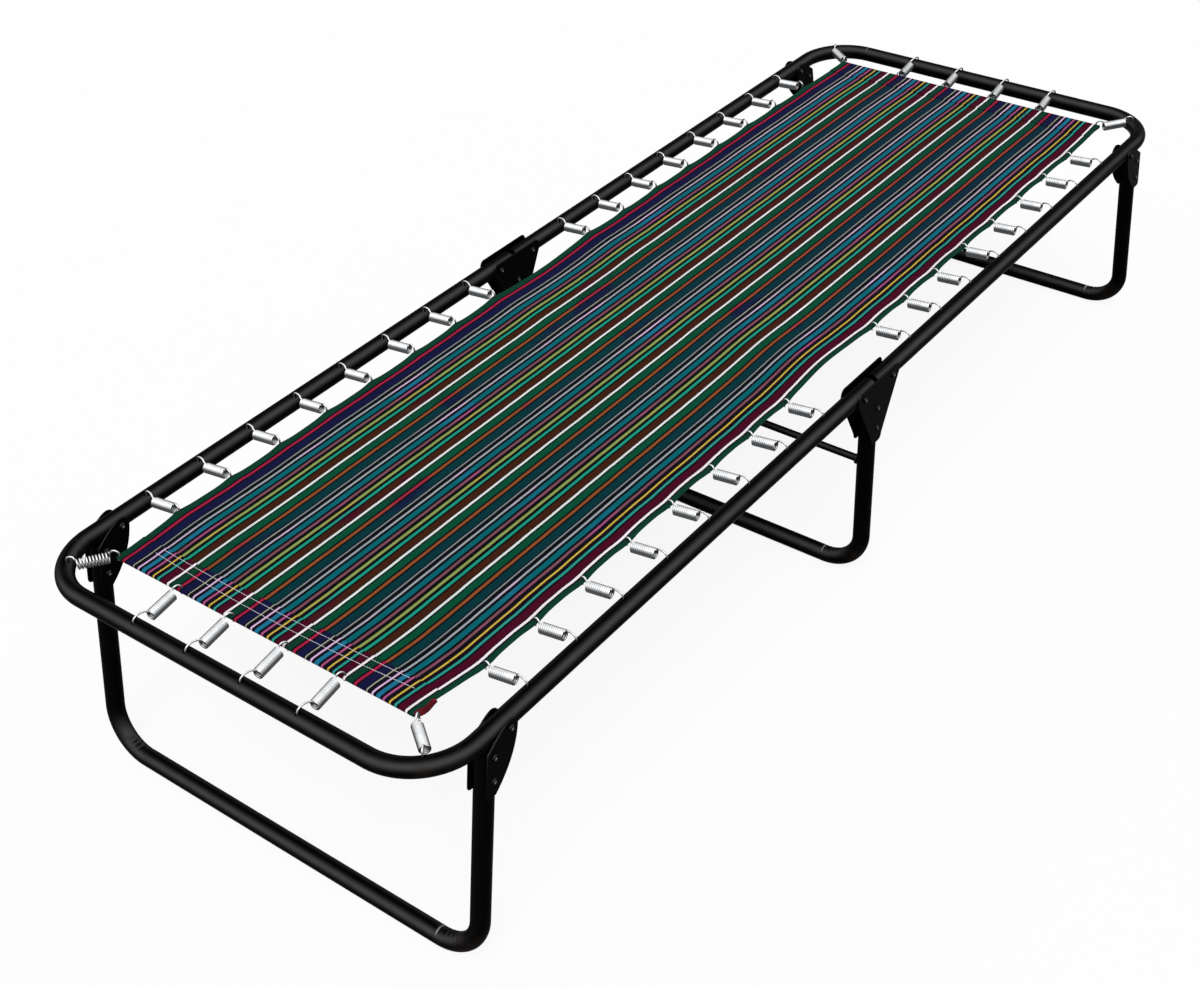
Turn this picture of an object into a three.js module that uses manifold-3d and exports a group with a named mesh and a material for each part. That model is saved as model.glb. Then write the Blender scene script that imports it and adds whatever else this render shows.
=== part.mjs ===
// Folding camping cot: a two-part tube frame on three U legs, with a striped canvas hung on 44 springs.
// Millimetres, +Z up. The origin is on the floor under the middle of the frame. X runs along the bed,
// from the foot end (-X) to the head end (+X), and +Y is the left side.
import * as THREE from 'three';
import { mergeVertices } from 'three/addons/utils/BufferGeometryUtils.js';
import Module from 'manifold-3d';

const wasm = await Module();
wasm.setup();

// Whole cot
const overallLength = 1900;
const overallWidth = 665;
const bedHeight = 350;

// Steel tube of the frame and the legs
const tubeDiameter = 25;
const tubeWall = 1.2;
const tubeSides = 12;
const boreSides = 8;
const frameBendRadius = 84;
const frameBendSteps = 4;

// Clearances
const touchGap = 0.3;
const holeClearance = 0.35;
const cutOverrun = 2;
const samePlace = 1e-6;

// Middle hinge: two plates a side, with one pivot for each half of the frame
const hingeOffset = -13.5;
const hingePivotSpacing = 76;
const frameEndGap = 9;
const plateThickness = 1.8;
const plateCurveSteps = 3;
const midPlateRise = 1;
const midPlateTopWidth = 92;
const midPlateShoulderWidth = 110;
const midPlateShoulderDrop = 2;
const midPlateFootWidth = 27;
const midPlateDepth = 92;
const midPlateCorner = 9;
const midLegEndClearance = 1;
const legRivetEndDistance = 8.5;
const legRivetSpacing = 33;

// End legs: each pivots under its end of the frame and leans out to the floor
const endLegInset = 98;
const endLegLean = 51;
const endPivotInset = 125;
const endPivotDrop = 2;
const endLegStopGap = 0.4;
const endPlateLobeRadius = 12;
const endPlateFootWidth = 17;
const endPlateDepth = 76;
const endPlateCorner = 8;
const endPlateBellyWidth = 50;

// All three legs
const legBendRadius = 60;
const legBendSteps = 4;
const crossbarDiameter = 11;
const crossbarHeight = 206;
const crossbarSides = 8;

// Rivets
const rivetDiameter = 5;
const rivetHeadDiameter = 9.5;
const rivetHeadHeight = 2.2;
const rivetHeadFlatShare = 0.55;
const rivetSides = 8;
const rivetHoleSides = 6;

// Springs
const wireDiameter = 2.2;
const wireSides = 3;
const springDiameter = 15;
const springRise = 8;
const springBodySides = 8;
const springHoleInset = 4.5;
const hookHoleClearance = 0.7;
const hookHoleSides = 4;
const hookDepthInTube = 3.5;
const hookBendSteps = 2;
const hookRise = 2;
const hookDepthUnderCanvas = 3.4;
const curlSteps = 8;
const coilStandoff = 1;
const firstSideSpringFoot = 177.5;
const firstSideSpringHead = 204.5;
const hingeSpringOffset = 116.5;
const sideSpringCount = 8;
const sideSpringStart = 22;
const sideSpringLength = 33;
const endSpringPitch = 90;
const endSpringCount = 4;
const endSpringHoleInset = -2.5;
const endSpringStart = 19.5;
const endSpringLength = 42.5;
const endSpringCurls = 7;
const cornerSpringStart = 16;
const cornerSpringLength = 41;
const cornerSpringCurls = 9;

// Canvas
const canvasThickness = 1.6;
const canvasHookMargin = 5;
const canvasScallopDepth = 8;
const canvasEdgeSteps = 3;
const canvasHalfGap = 6;
const canvasHingeDrawIn = 10;
const canvasCornerMargin = 5;
const hemRodDiameter = 4;
const hemRodClearance = 0.6;
const hemThickness = 1.1;
const hemSides = 8;
const hemNotchWidth = 12;
const hemRodShortfall = 8;

// Worked out
const tubeRadius = tubeDiameter / 2;
const axisHeight = bedHeight - tubeRadius;
const railInset = overallLength / 2 - tubeRadius;
const sideInset = overallWidth / 2 - tubeRadius;
const wireRadius = wireDiameter / 2;
const coilRadius = springDiameter / 2 - wireRadius;
const plateNear = tubeRadius + touchGap;
const plateFar = plateNear + plateThickness;
const hookHoleRadius = (wireRadius + hookHoleClearance) / Math.cos(Math.PI / hookHoleSides);
const rivetHoleRadius = (rivetDiameter / 2 + holeClearance) / Math.cos(Math.PI / rivetHoleSides);
const tubeFlat = tubeRadius * Math.cos(Math.PI / tubeSides);
const hingePivotX = hingePivotSpacing / 2;
const frameEndSweep = Math.hypot(hingePivotX - frameEndGap / 2, tubeRadius);
const canvasHeight = axisHeight + springRise;
const sides = { left: 1, right: -1 };

// Finishes
const blackPaint = new THREE.MeshStandardMaterial({ color: 0x0d0d0e, roughness: 0.38, metalness: 0.1 });
const zincWire = new THREE.MeshStandardMaterial({ color: 0xd4d6d8, roughness: 0.25, metalness: 1 });
const stripedCanvas = new THREE.MeshStandardMaterial({ color: 0x2b4a4c, roughness: 0.9, metalness: 0 });

const cot = new THREE.Group();

// A path through chosen stations, so that a straight takes one step and a bend takes a few
class StationPath extends THREE.Curve {
  constructor(stations) {
    super();
    this.stations = stations;
  }

  stationAt(share) {
    return this.stations[Math.round(share * (this.stations.length - 1))];
  }

  getPoint(share, target = new THREE.Vector3()) {
    return target.copy(this.stationAt(share).point);
  }

  getPointAt(share, target) {
    return this.getPoint(share, target);
  }

  getTangentAt(share, target = new THREE.Vector3()) {
    return target.copy(this.stationAt(share).tangent);
  }
}

// Stations along a line of corners, each corner rounded to an arc
function bentStations(corners, bendRadius, bendSteps) {
  const stations = [];
  const addStation = (point, tangent) => {
    const last = stations.at(-1);
    if (!last || last.point.distanceTo(point) > samePlace) stations.push({ point, tangent });
  };
  const first = corners[1].clone().sub(corners[0]).normalize();
  addStation(corners[0], first);
  for (let i = 1; i < corners.length - 1; i += 1) {
    const incoming = corners[i].clone().sub(corners[i - 1]).normalize();
    const outgoing = corners[i + 1].clone().sub(corners[i]).normalize();
    const turn = incoming.angleTo(outgoing);
    const inward = outgoing.clone().addScaledVector(incoming, -outgoing.dot(incoming)).normalize();
    const start = corners[i].clone().addScaledVector(incoming, -bendRadius * Math.tan(turn / 2));
    const centre = start.clone().addScaledVector(inward, bendRadius);
    for (let step = 0; step <= bendSteps; step += 1) {
      const angle = (turn * step) / bendSteps;
      const point = centre.clone()
        .addScaledVector(inward, -bendRadius * Math.cos(angle))
        .addScaledVector(incoming, bendRadius * Math.sin(angle));
      const tangent = incoming.clone()
        .multiplyScalar(Math.cos(angle))
        .addScaledVector(inward, Math.sin(angle));
      addStation(point, tangent);
    }
  }
  const end = corners.at(-1);
  addStation(end, end.clone().sub(corners.at(-2)).normalize());
  return stations;
}

// A regular section, turned so that one of its flats faces along the section's own axes
function roundSection(radius, sectionSides, turn) {
  const corner = (i) => {
    const angle = turn + ((i + 0.5) * 2 * Math.PI) / sectionSides;
    return new THREE.Vector2(radius * Math.cos(angle), radius * Math.sin(angle));
  };
  return new THREE.Shape(Array.from({ length: sectionSides }, (_, i) => corner(i)));
}

function sweep(stations, radius, sectionSides, turn = 0) {
  return new THREE.ExtrudeGeometry(roundSection(radius, sectionSides, turn), {
    steps: stations.length - 1,
    extrudePath: new StationPath(stations),
    bevelEnabled: false,
  });
}

function toSolid(geometry) {
  const bare = geometry.clone();
  bare.deleteAttribute('normal');
  bare.deleteAttribute('uv');
  const merged = mergeVertices(bare);
  return new wasm.Manifold(new wasm.Mesh({
    numProp: 3,
    vertProperties: Float32Array.from(merged.attributes.position.array),
    triVerts: Uint32Array.from(merged.index.array),
  }));
}

function toGeometry(solid) {
  const mesh = solid.getMesh();
  const geometry = new THREE.BufferGeometry();
  geometry.setAttribute('position', new THREE.BufferAttribute(mesh.vertProperties, mesh.numProp));
  geometry.setIndex(new THREE.BufferAttribute(mesh.triVerts, 1));
  geometry.computeVertexNormals();
  return geometry;
}

const join = (solids) => solids.reduce((whole, solid) => whole.add(solid));
const cut = (solid, cutters) => solid.subtract(join(cutters));

// A pin or a hole along one axis, from one end coordinate to the other
function rod(axis, radius, rodSides, low, high, at) {
  const geometry = new THREE.CylinderGeometry(radius, radius, high - low, rodSides);
  if (axis === 'x') geometry.rotateZ(Math.PI / 2);
  if (axis === 'z') geometry.rotateX(Math.PI / 2);
  const centre = at.clone();
  centre[axis] = (low + high) / 2;
  return toSolid(geometry.translate(centre.x, centre.y, centre.z));
}

function addPiece(name, solid, material, parent = cot) {
  const piece = new THREE.Mesh(toGeometry(solid), material);
  piece.name = name;
  parent.add(piece);
  return piece;
}

function hollowTube(stations, turn) {
  const outside = toSolid(sweep(stations, tubeRadius, tubeSides, turn));
  const longer = stations.map((station) => ({ ...station }));
  longer[0].point = stations[0].point.clone().addScaledVector(stations[0].tangent, -cutOverrun);
  longer.at(-1).point = stations.at(-1).point.clone().addScaledVector(stations.at(-1).tangent, cutOverrun);
  return outside.subtract(toSolid(sweep(longer, tubeRadius - tubeWall, boreSides, turn)));
}

// Places along one half of the frame, measured from its end rail towards the hinge
function sideSpringInsets(length, first) {
  const pitch = (length - first - hingeSpringOffset) / (sideSpringCount - 1);
  return Array.from({ length: sideSpringCount }, (_, i) => first + i * pitch);
}
const endSpringSpots = Array.from(
  { length: endSpringCount },
  (_, i) => (i - (endSpringCount - 1) / 2) * endSpringPitch,
);
const cornerAngle = Math.PI / 4;
const bendCentreInset = frameBendRadius;
const bendCentreY = sideInset - frameBendRadius;

// A place on the 45 degree line of a frame corner, a distance in from the middle of the bent tube
function cornerPlace(inward, side) {
  const reach = frameBendRadius - inward;
  return {
    inset: bendCentreInset - reach * Math.cos(cornerAngle),
    y: side * (bendCentreY + reach * Math.sin(cornerAngle)),
  };
}

// Each half is built as the foot half, with X = 0 on its end rail, and then turned into place
const footLength = railInset + hingeOffset;
const headLength = railInset - hingeOffset;
const halves = {
  foot: { facing: 1, length: footLength, springInsets: sideSpringInsets(footLength, firstSideSpringFoot) },
  head: { facing: -1, length: headLength, springInsets: sideSpringInsets(headLength, firstSideSpringHead) },
};

function rivetHole(x, y, z) {
  const at = new THREE.Vector3(x, y, z);
  return rod('y', rivetHoleRadius, rivetHoleSides, y - tubeDiameter, y + tubeDiameter, at);
}

function frameTube(half) {
  const end = half.length - frameEndGap / 2;
  const corners = [
    new THREE.Vector3(end, -sideInset, axisHeight),
    new THREE.Vector3(0, -sideInset, axisHeight),
    new THREE.Vector3(0, sideInset, axisHeight),
    new THREE.Vector3(end, sideInset, axisHeight),
  ];
  const tube = hollowTube(bentStations(corners, frameBendRadius, frameBendSteps), 0);
  const holes = [];
  const hookHole = (x, y) => rod(
    'z', hookHoleRadius, hookHoleSides, axisHeight, bedHeight + cutOverrun, new THREE.Vector3(x, y, 0),
  );
  endSpringSpots.forEach((y) => holes.push(hookHole(endSpringHoleInset, y)));
  Object.values(sides).forEach((side) => {
    half.springInsets.forEach((x) => holes.push(hookHole(x, side * (sideInset - springHoleInset))));
    const corner = cornerPlace(springHoleInset, side);
    holes.push(hookHole(corner.inset, corner.y));
    holes.push(rivetHole(endPivotInset, side * sideInset, axisHeight - endPivotDrop));
    holes.push(rivetHole(half.length - hingePivotX, side * sideInset, axisHeight));
  });
  return cut(tube, holes);
}

// The wire goes up out of the tube, over to the coil, along it, and over the canvas edge into its hole.
// Distances run inwards from the middle of the tube, and height is measured from the tube's axis.
function springLine(start, length, holeInset, canvasEndHeight) {
  const coilStart = start + wireRadius / 2;
  const coilEnd = start + length - wireRadius / 2;
  const outerBend = (coilStart - holeInset) / 2;
  const innerBend = canvasHookMargin + wireRadius / 2;
  const outerTop = springRise + hookRise + outerBend;
  const innerTop = springRise + hookRise + innerBend;
  const coilFoot = springRise - coilRadius;
  const hookEnd = coilEnd + 2 * innerBend;
  const place = (inward, height) => new THREE.Vector3(inward, 0, height);
  return {
    coilStart,
    coilEnd,
    hookEnd,
    outer: bentStations([
      place(holeInset, tubeRadius - hookDepthInTube),
      place(holeInset, outerTop),
      place(coilStart, outerTop),
      place(coilStart, coilFoot),
    ], outerBend, hookBendSteps),
    inner: bentStations([
      place(coilEnd, coilFoot),
      place(coilEnd, innerTop),
      place(hookEnd, innerTop),
      place(hookEnd, canvasEndHeight),
    ], innerBend, hookBendSteps),
  };
}

const underCanvas = springRise - hookDepthUnderCanvas;
const sideLine = springLine(sideSpringStart, sideSpringLength, springHoleInset, underCanvas);
const endLine = springLine(endSpringStart, endSpringLength, endSpringHoleInset, springRise);
const cornerLine = springLine(cornerSpringStart, cornerSpringLength, springHoleInset, underCanvas);

// A close-wound spring: its turns touch, so they are one smooth barrel between its two hooks
function barrelSpring(line) {
  const middle = new THREE.Vector3(0, 0, springRise);
  const low = line.coilStart - wireRadius;
  const high = line.coilEnd + wireRadius;
  const barrel = rod('x', springDiameter / 2, springBodySides, low, high, middle);
  const hooks = [line.outer, line.inner].map((stations) => toSolid(sweep(stations, wireRadius, wireSides)));
  return join([barrel, ...hooks]);
}

// A drawn-out spring: one wire from hook to hook, with open curls between them
function woundStations(line, curls) {
  const steps = curls * curlSteps;
  const first = line.coilStart + coilStandoff;
  const last = line.coilEnd - coilStandoff;
  const coil = Array.from({ length: steps + 1 }, (_, i) => {
    const angle = (2 * Math.PI * i) / curlSteps;
    const inward = first + ((last - first) * i) / steps;
    const height = springRise - coilRadius * Math.cos(angle);
    return new THREE.Vector3(inward, coilRadius * Math.sin(angle), height);
  });
  const points = [
    ...line.outer.map((station) => station.point),
    ...coil,
    ...line.inner.map((station) => station.point),
  ];
  return points.map((point, i) => {
    const before = points[Math.max(i - 1, 0)];
    const after = points[Math.min(i + 1, points.length - 1)];
    return { point, tangent: after.clone().sub(before).normalize() };
  });
}

// The least gap of a wire to itself, leaving out the stretch next to each point
function leastGap(stations) {
  const samplesPerStep = 4;
  const points = [];
  for (let i = 1; i < stations.length; i += 1) {
    for (let k = 0; k < samplesPerStep; k += 1) {
      points.push(stations[i - 1].point.clone().lerp(stations[i].point, k / samplesPerStep));
    }
  }
  const along = [0];
  for (let i = 1; i < points.length; i += 1) along.push(along[i - 1] + points[i].distanceTo(points[i - 1]));
  const nearStretch = Math.PI * coilRadius;
  let least = Infinity;
  for (let i = 0; i < points.length; i += 1) {
    for (let j = i + 1; j < points.length; j += 1) {
      if (along[j] - along[i] > nearStretch) least = Math.min(least, points[i].distanceTo(points[j]));
    }
  }
  return least - wireDiameter;
}

const endStations = woundStations(endLine, endSpringCurls);
const cornerStations = woundStations(cornerLine, cornerSpringCurls);
console.log(`Least gap in an end spring: ${leastGap(endStations).toFixed(2)} mm`);
console.log(`Least gap in a corner spring: ${leastGap(cornerStations).toFixed(2)} mm`);

// The canvas outline of one half, seen from above, with its edge drawn in between the springs
function canvasOutline(half) {
  const sideEdge = sideInset - sideLine.hookEnd + canvasHookMargin;
  const valley = sideEdge - 2 * canvasScallopDepth;
  const rodInset = endLine.hookEnd;
  const corner = cornerPlace(cornerLine.hookEnd, 1);
  const cornerInset = corner.inset - canvasCornerMargin * Math.cos(cornerAngle);
  const cornerY = corner.y + canvasCornerMargin * Math.sin(cornerAngle);
  const meeting = half.length - canvasHalfGap / 2;
  const hingeEdge = sideEdge - canvasHingeDrawIn;
  const outline = new THREE.Shape();
  const edge = (side) => {
    const curves = [];
    let last = { x: cornerInset, y: side * cornerY };
    half.springInsets.forEach((x) => {
      const next = { x, y: side * sideEdge };
      curves.push([last, { x: (last.x + x) / 2, y: side * valley }, next]);
      last = next;
    });
    const end = { x: meeting, y: side * hingeEdge };
    curves.push([last, { x: (last.x + meeting) / 2, y: side * hingeEdge }, end]);
    return curves;
  };
  outline.moveTo(rodInset, -corner.y);
  outline.lineTo(cornerInset, -cornerY);
  edge(-1).forEach(([, bend, to]) => outline.quadraticCurveTo(bend.x, bend.y, to.x, to.y));
  const left = edge(1).reverse();
  outline.lineTo(left[0][2].x, left[0][2].y);
  left.forEach(([from, bend]) => outline.quadraticCurveTo(bend.x, bend.y, from.x, from.y));
  outline.lineTo(rodInset, corner.y);
  outline.closePath();
  return outline;
}

const hemRodReach = cornerPlace(cornerLine.hookEnd, 1).y - hemRodShortfall;

function canvasHalf(half) {
  const slabGeometry = new THREE.ExtrudeGeometry(canvasOutline(half), {
    depth: canvasThickness, curveSegments: canvasEdgeSteps, bevelEnabled: false,
  });
  const slab = toSolid(slabGeometry.translate(0, 0, canvasHeight - canvasThickness / 2));
  const boreRadius = (hemRodDiameter / 2 + hemRodClearance) / Math.cos(Math.PI / hemSides);
  const rodLine = new THREE.Vector3(endLine.hookEnd, 0, canvasHeight);
  const hem = rod('y', boreRadius + hemThickness, hemSides, -hemRodReach, hemRodReach, rodLine);
  const boreEnd = hemRodReach + cutOverrun;
  const bore = rod('y', boreRadius, hemSides, -boreEnd, boreEnd, rodLine);
  const notchDepth = boreRadius + hemThickness;
  const notches = endSpringSpots.map((y) => toSolid(
    new THREE.BoxGeometry(2 * notchDepth, hemNotchWidth, 2 * notchDepth + cutOverrun)
      .translate(endLine.hookEnd - wireRadius, y, canvasHeight),
  ));
  const hookHole = (x, y) => rod(
    'z', hookHoleRadius, hookHoleSides, canvasHeight - canvasThickness, canvasHeight + canvasThickness,
    new THREE.Vector3(x, y, 0),
  );
  const holes = Object.values(sides).flatMap((side) => {
    const corner = cornerPlace(cornerLine.hookEnd, side);
    const places = half.springInsets.map((x) => hookHole(x, side * (sideInset - sideLine.hookEnd)));
    return [...places, hookHole(corner.inset, corner.y)];
  });
  return cut(slab.add(hem), [bore, ...notches, ...holes]);
}

// A rivet along Y, with a head on each side at a distance from its middle
function rivet(x, side, z, headFace) {
  const headRadius = rivetHeadDiameter / 2;
  const crown = headRadius * rivetHeadFlatShare;
  const profile = [
    [0, -headFace - rivetHeadHeight], [crown, -headFace - rivetHeadHeight], [headRadius, -headFace],
    [rivetDiameter / 2, -headFace], [rivetDiameter / 2, headFace], [headRadius, headFace],
    [crown, headFace + rivetHeadHeight], [0, headFace + rivetHeadHeight],
  ];
  const geometry = new THREE.LatheGeometry(profile.map(([r, h]) => new THREE.Vector2(r, h)), rivetSides);
  return toSolid(geometry.translate(x, side * sideInset, z));
}

// A pivot's heads stay clear of the plates that turn between them
const pivotRivet = (x, side, z) => rivet(x, side, z, plateFar + touchGap);

// Two plates, one on each side of the tube, held together by the leg's two tight rivets
function bracket(outline, side, pivot, legRivets) {
  const plate = new THREE.ExtrudeGeometry(outline, {
    depth: plateThickness, curveSegments: plateCurveSteps, bevelEnabled: false,
  }).rotateX(Math.PI / 2);
  const middle = side * sideInset;
  const faces = [middle - plateNear, middle + plateFar];
  const plates = faces.map((face) => toSolid(plate.clone().translate(0, face, 0)));
  const holes = pivot.map(([x, z]) => rivetHole(x, middle, z));
  const seated = legRivets.map(([x, z]) => rivet(x, side, z, plateFar - touchGap));
  return join([cut(join(plates), holes), ...seated]);
}

function midPlateOutline() {
  const top = tubeRadius + midPlateRise;
  const foot = midPlateFootWidth / 2;
  const outline = new THREE.Shape();
  const shoulder = midPlateShoulderWidth / 2;
  const crown = midPlateTopWidth / 2;
  outline.moveTo(-crown, top);
  outline.quadraticCurveTo(-shoulder, top, -shoulder, -midPlateShoulderDrop);
  outline.lineTo(-foot, midPlateCorner - midPlateDepth);
  outline.quadraticCurveTo(-foot, -midPlateDepth, midPlateCorner - foot, -midPlateDepth);
  outline.lineTo(foot - midPlateCorner, -midPlateDepth);
  outline.quadraticCurveTo(foot, -midPlateDepth, foot, midPlateCorner - midPlateDepth);
  outline.lineTo(shoulder, -midPlateShoulderDrop);
  outline.quadraticCurveTo(shoulder, top, crown, top);
  outline.closePath();
  return outline;
}

// Where the end leg's middle line runs, as a distance in from the end rail, at a depth under the tube axis
const legReach = axisHeight - tubeFlat;
const lean = Math.atan(endLegLean / legReach);
const endLegAt = (depth) => endLegInset - depth * Math.tan(lean);
const outboardShift = tubeRadius / Math.cos(lean);

function endPlateOutline() {
  const top = tubeRadius + endLegStopGap;
  const outer = (depth) => endLegAt(depth) - outboardShift;
  const lobeTop = endPlateLobeRadius - endPivotDrop;
  const foot = outer(endPlateDepth);
  const outline = new THREE.Shape();
  outline.moveTo(outer(top), -top);
  outline.lineTo(outer(endPlateDepth - endPlateCorner), endPlateCorner - endPlateDepth);
  outline.quadraticCurveTo(foot, -endPlateDepth, foot + endPlateCorner, -endPlateDepth);
  outline.lineTo(foot + endPlateFootWidth, -endPlateDepth);
  outline.quadraticCurveTo(
    outer(endPlateDepth / 2) + endPlateBellyWidth, -endPlateDepth / 2 - endPlateCorner,
    endPivotInset + endPlateLobeRadius, -endPivotDrop,
  );
  outline.absarc(endPivotInset, -endPivotDrop, endPlateLobeRadius, 0, Math.PI / 2, false);
  outline.quadraticCurveTo(endPivotInset - endPlateLobeRadius, lobeTop, outer(top), -top);
  outline.closePath();
  return outline;
}

// A U leg, standing in the plane X = 0, with its rail's flat on the floor and its two ends at a height
function legTube(endHeight, turn) {
  const corners = [
    new THREE.Vector3(0, -sideInset, endHeight),
    new THREE.Vector3(0, -sideInset, 0),
    new THREE.Vector3(0, sideInset, 0),
    new THREE.Vector3(0, sideInset, endHeight),
  ];
  return hollowTube(bentStations(corners, legBendRadius, legBendSteps), turn);
}

function legRivetHoles(spots) {
  return Object.values(sides).flatMap((side) => spots.map(([x, z]) => rivetHole(x, side * sideInset, z)));
}

// Middle leg, its crossbar and its two brackets
const midStand = new THREE.Group();
midStand.position.set(hingeOffset, 0, axisHeight);
cot.add(midStand);
const cornerReach = hingePivotX - tubeRadius;
const midLegDrop = Math.sqrt(frameEndSweep ** 2 - cornerReach ** 2) + midLegEndClearance;
const midLegRivets = [0, 1].map((i) => [0, -midLegDrop - legRivetEndDistance - i * legRivetSpacing]);
const midLegBody = legTube(legReach - midLegDrop, 0).translate([0, 0, -legReach]);
addPiece('mid_leg_tube', cut(midLegBody, legRivetHoles(midLegRivets)), blackPaint, midStand);
const barReach = sideInset - tubeRadius - touchGap;
const barAt = new THREE.Vector3(0, 0, crossbarHeight - axisHeight);
const crossbar = rod('y', crossbarDiameter / 2, crossbarSides, -barReach, barReach, barAt);
addPiece('mid_leg_crossbar', crossbar, blackPaint, midStand);
const hingePivots = { foot: -hingePivotX, head: hingePivotX };
Object.entries(sides).forEach(([sideName, side]) => {
  const spots = Object.values(hingePivots).map((x) => [x, 0]);
  const body = bracket(midPlateOutline(), side, spots, midLegRivets);
  addPiece(`mid_bracket_${sideName}`, body, blackPaint, midStand);
  Object.entries(hingePivots).forEach(([halfName, x]) => {
    addPiece(`hinge_rivet_${halfName}_${sideName}`, pivotRivet(x, side, 0), blackPaint, midStand);
  });
});

// Everything that a half of the cot carries
Object.entries(halves).forEach(([halfName, half]) => {
  const group = new THREE.Group();
  group.position.x = -half.facing * railInset;
  group.rotation.z = half.facing > 0 ? 0 : Math.PI;
  cot.add(group);
  addPiece(`${halfName}_frame_tube`, frameTube(half), blackPaint, group);
  addPiece(`canvas_${halfName}_half`, canvasHalf(half), stripedCanvas, group);

  // Leg, leaning out, with its ends just under the frame tube
  const legGroup = new THREE.Group();
  legGroup.position.set(endLegInset - endLegLean, 0, tubeFlat);
  legGroup.rotation.y = lean;
  group.add(legGroup);
  const legLength = (legReach - tubeRadius - endLegStopGap - tubeRadius * Math.sin(lean)) / Math.cos(lean);
  const rivetDepths = [0, 1].map((i) => legLength - legRivetEndDistance - i * legRivetSpacing);
  const legBody = legTube(legLength, -lean);
  const legHoles = legRivetHoles(rivetDepths.map((height) => [0, height]));
  addPiece(`${halfName}_leg_tube`, cut(legBody, legHoles), blackPaint, legGroup);

  const legRivets = rivetDepths.map((height) => [
    endLegInset - endLegLean + height * Math.sin(lean), tubeFlat + height * Math.cos(lean),
  ]);
  const pivotAt = [endPivotInset, axisHeight - endPivotDrop];
  const plate = endPlateOutline();
  Object.entries(sides).forEach(([sideName, side]) => {
    const groupSide = half.facing * side;
    const raised = legRivets.map(([x, z]) => [x, z - axisHeight]);
    const body = bracket(plate, groupSide, [[pivotAt[0], pivotAt[1] - axisHeight]], raised);
    addPiece(`${halfName}_bracket_${sideName}`, body.translate([0, 0, axisHeight]), blackPaint, group);
    const pivotBody = pivotRivet(pivotAt[0], groupSide, pivotAt[1]);
    addPiece(`${halfName}_pivot_rivet_${sideName}`, pivotBody, blackPaint, group);
  });

  // Side springs, numbered from the end rail
  const barrel = barrelSpring(sideLine);
  half.springInsets.forEach((x, i) => {
    Object.entries(sides).forEach(([sideName, side]) => {
      const name = `side_spring_${halfName}_${sideName}_${i + 1}`;
      const spring = addPiece(name, barrel, zincWire, group);
      spring.position.set(x, half.facing * side * sideInset, axisHeight);
      spring.rotation.z = -half.facing * side * Math.PI / 2;
    });
  });

  // Corner springs
  const cornerSpring = toSolid(sweep(cornerStations, wireRadius, wireSides));
  Object.entries(sides).forEach(([sideName, side]) => {
    const groupSide = half.facing * side;
    const spring = addPiece(`corner_spring_${halfName}_${sideName}`, cornerSpring, zincWire, group);
    const place = cornerPlace(0, groupSide);
    spring.position.set(place.inset, place.y, axisHeight);
    spring.rotation.z = -groupSide * cornerAngle;
  });

  // End springs, hooked on the rod in the canvas hem
  const endSpring = toSolid(sweep(endStations, wireRadius, wireSides));
  const hemRod = rod(
    'y', hemRodDiameter / 2, hemSides, -hemRodReach, hemRodReach,
    new THREE.Vector3(endLine.hookEnd, 0, springRise),
  );
  const row = join([hemRod, ...endSpringSpots.map((y) => endSpring.translate([0, y, 0]))]);
  addPiece(`end_springs_${halfName}`, row.translate([0, 0, axisHeight]), zincWire, group);
});

cot.updateMatrixWorld(true);

export default cot;
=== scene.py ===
"""Looks of a folding camping cot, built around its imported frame.

All places are in metres in the row frame: the origin is on the floor under the middle of the bed, X runs
from the foot end (-X) to the head end (+X), and +Y is the left side. Z is up.
"""

import logging
import math
from collections.abc import Callable, Iterable
from dataclasses import dataclass
from enum import Enum
from functools import partial, reduce

import bpy
import numpy as np
from mathutils import Matrix, Quaternion, Vector

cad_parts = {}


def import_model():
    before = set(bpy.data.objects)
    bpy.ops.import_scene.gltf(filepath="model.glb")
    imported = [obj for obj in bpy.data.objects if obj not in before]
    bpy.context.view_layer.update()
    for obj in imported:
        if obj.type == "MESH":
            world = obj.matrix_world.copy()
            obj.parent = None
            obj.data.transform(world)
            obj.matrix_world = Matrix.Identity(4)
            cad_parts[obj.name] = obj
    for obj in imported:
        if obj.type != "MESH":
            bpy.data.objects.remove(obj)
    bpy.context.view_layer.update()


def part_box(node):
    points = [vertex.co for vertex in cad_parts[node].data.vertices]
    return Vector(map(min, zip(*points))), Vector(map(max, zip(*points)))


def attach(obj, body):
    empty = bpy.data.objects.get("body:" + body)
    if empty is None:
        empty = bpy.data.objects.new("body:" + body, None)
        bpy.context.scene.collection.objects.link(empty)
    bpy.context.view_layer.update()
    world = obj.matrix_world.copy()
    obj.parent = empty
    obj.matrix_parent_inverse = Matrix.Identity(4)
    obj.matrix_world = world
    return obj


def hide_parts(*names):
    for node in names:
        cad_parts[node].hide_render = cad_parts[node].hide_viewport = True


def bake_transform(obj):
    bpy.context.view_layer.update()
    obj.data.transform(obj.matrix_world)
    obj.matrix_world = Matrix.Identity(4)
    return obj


log = logging.getLogger("cot")

MM = 0.001
SHARP_ANGLE = 38.0
WIRE_SHARP_ANGLE = 60.0
Spot = tuple[float, float]
Point = tuple[float, float, float]
Shell = tuple[np.ndarray, list]
Piece = bpy.types.Object
Mesh = bpy.types.Mesh
Material = bpy.types.Material
Socket = bpy.types.NodeSocket


class Slot(Enum):
    """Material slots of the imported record."""

    PAINT = "frame_paint"
    WIRE = "spring_wire"
    CANVAS = "canvas"


class Place(Enum):
    """A place on the cot, whose word stands in the names of nodes."""

    @property
    def word(self) -> str:
        """Name of the place as it stands there."""
        return self.name.lower()


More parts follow.
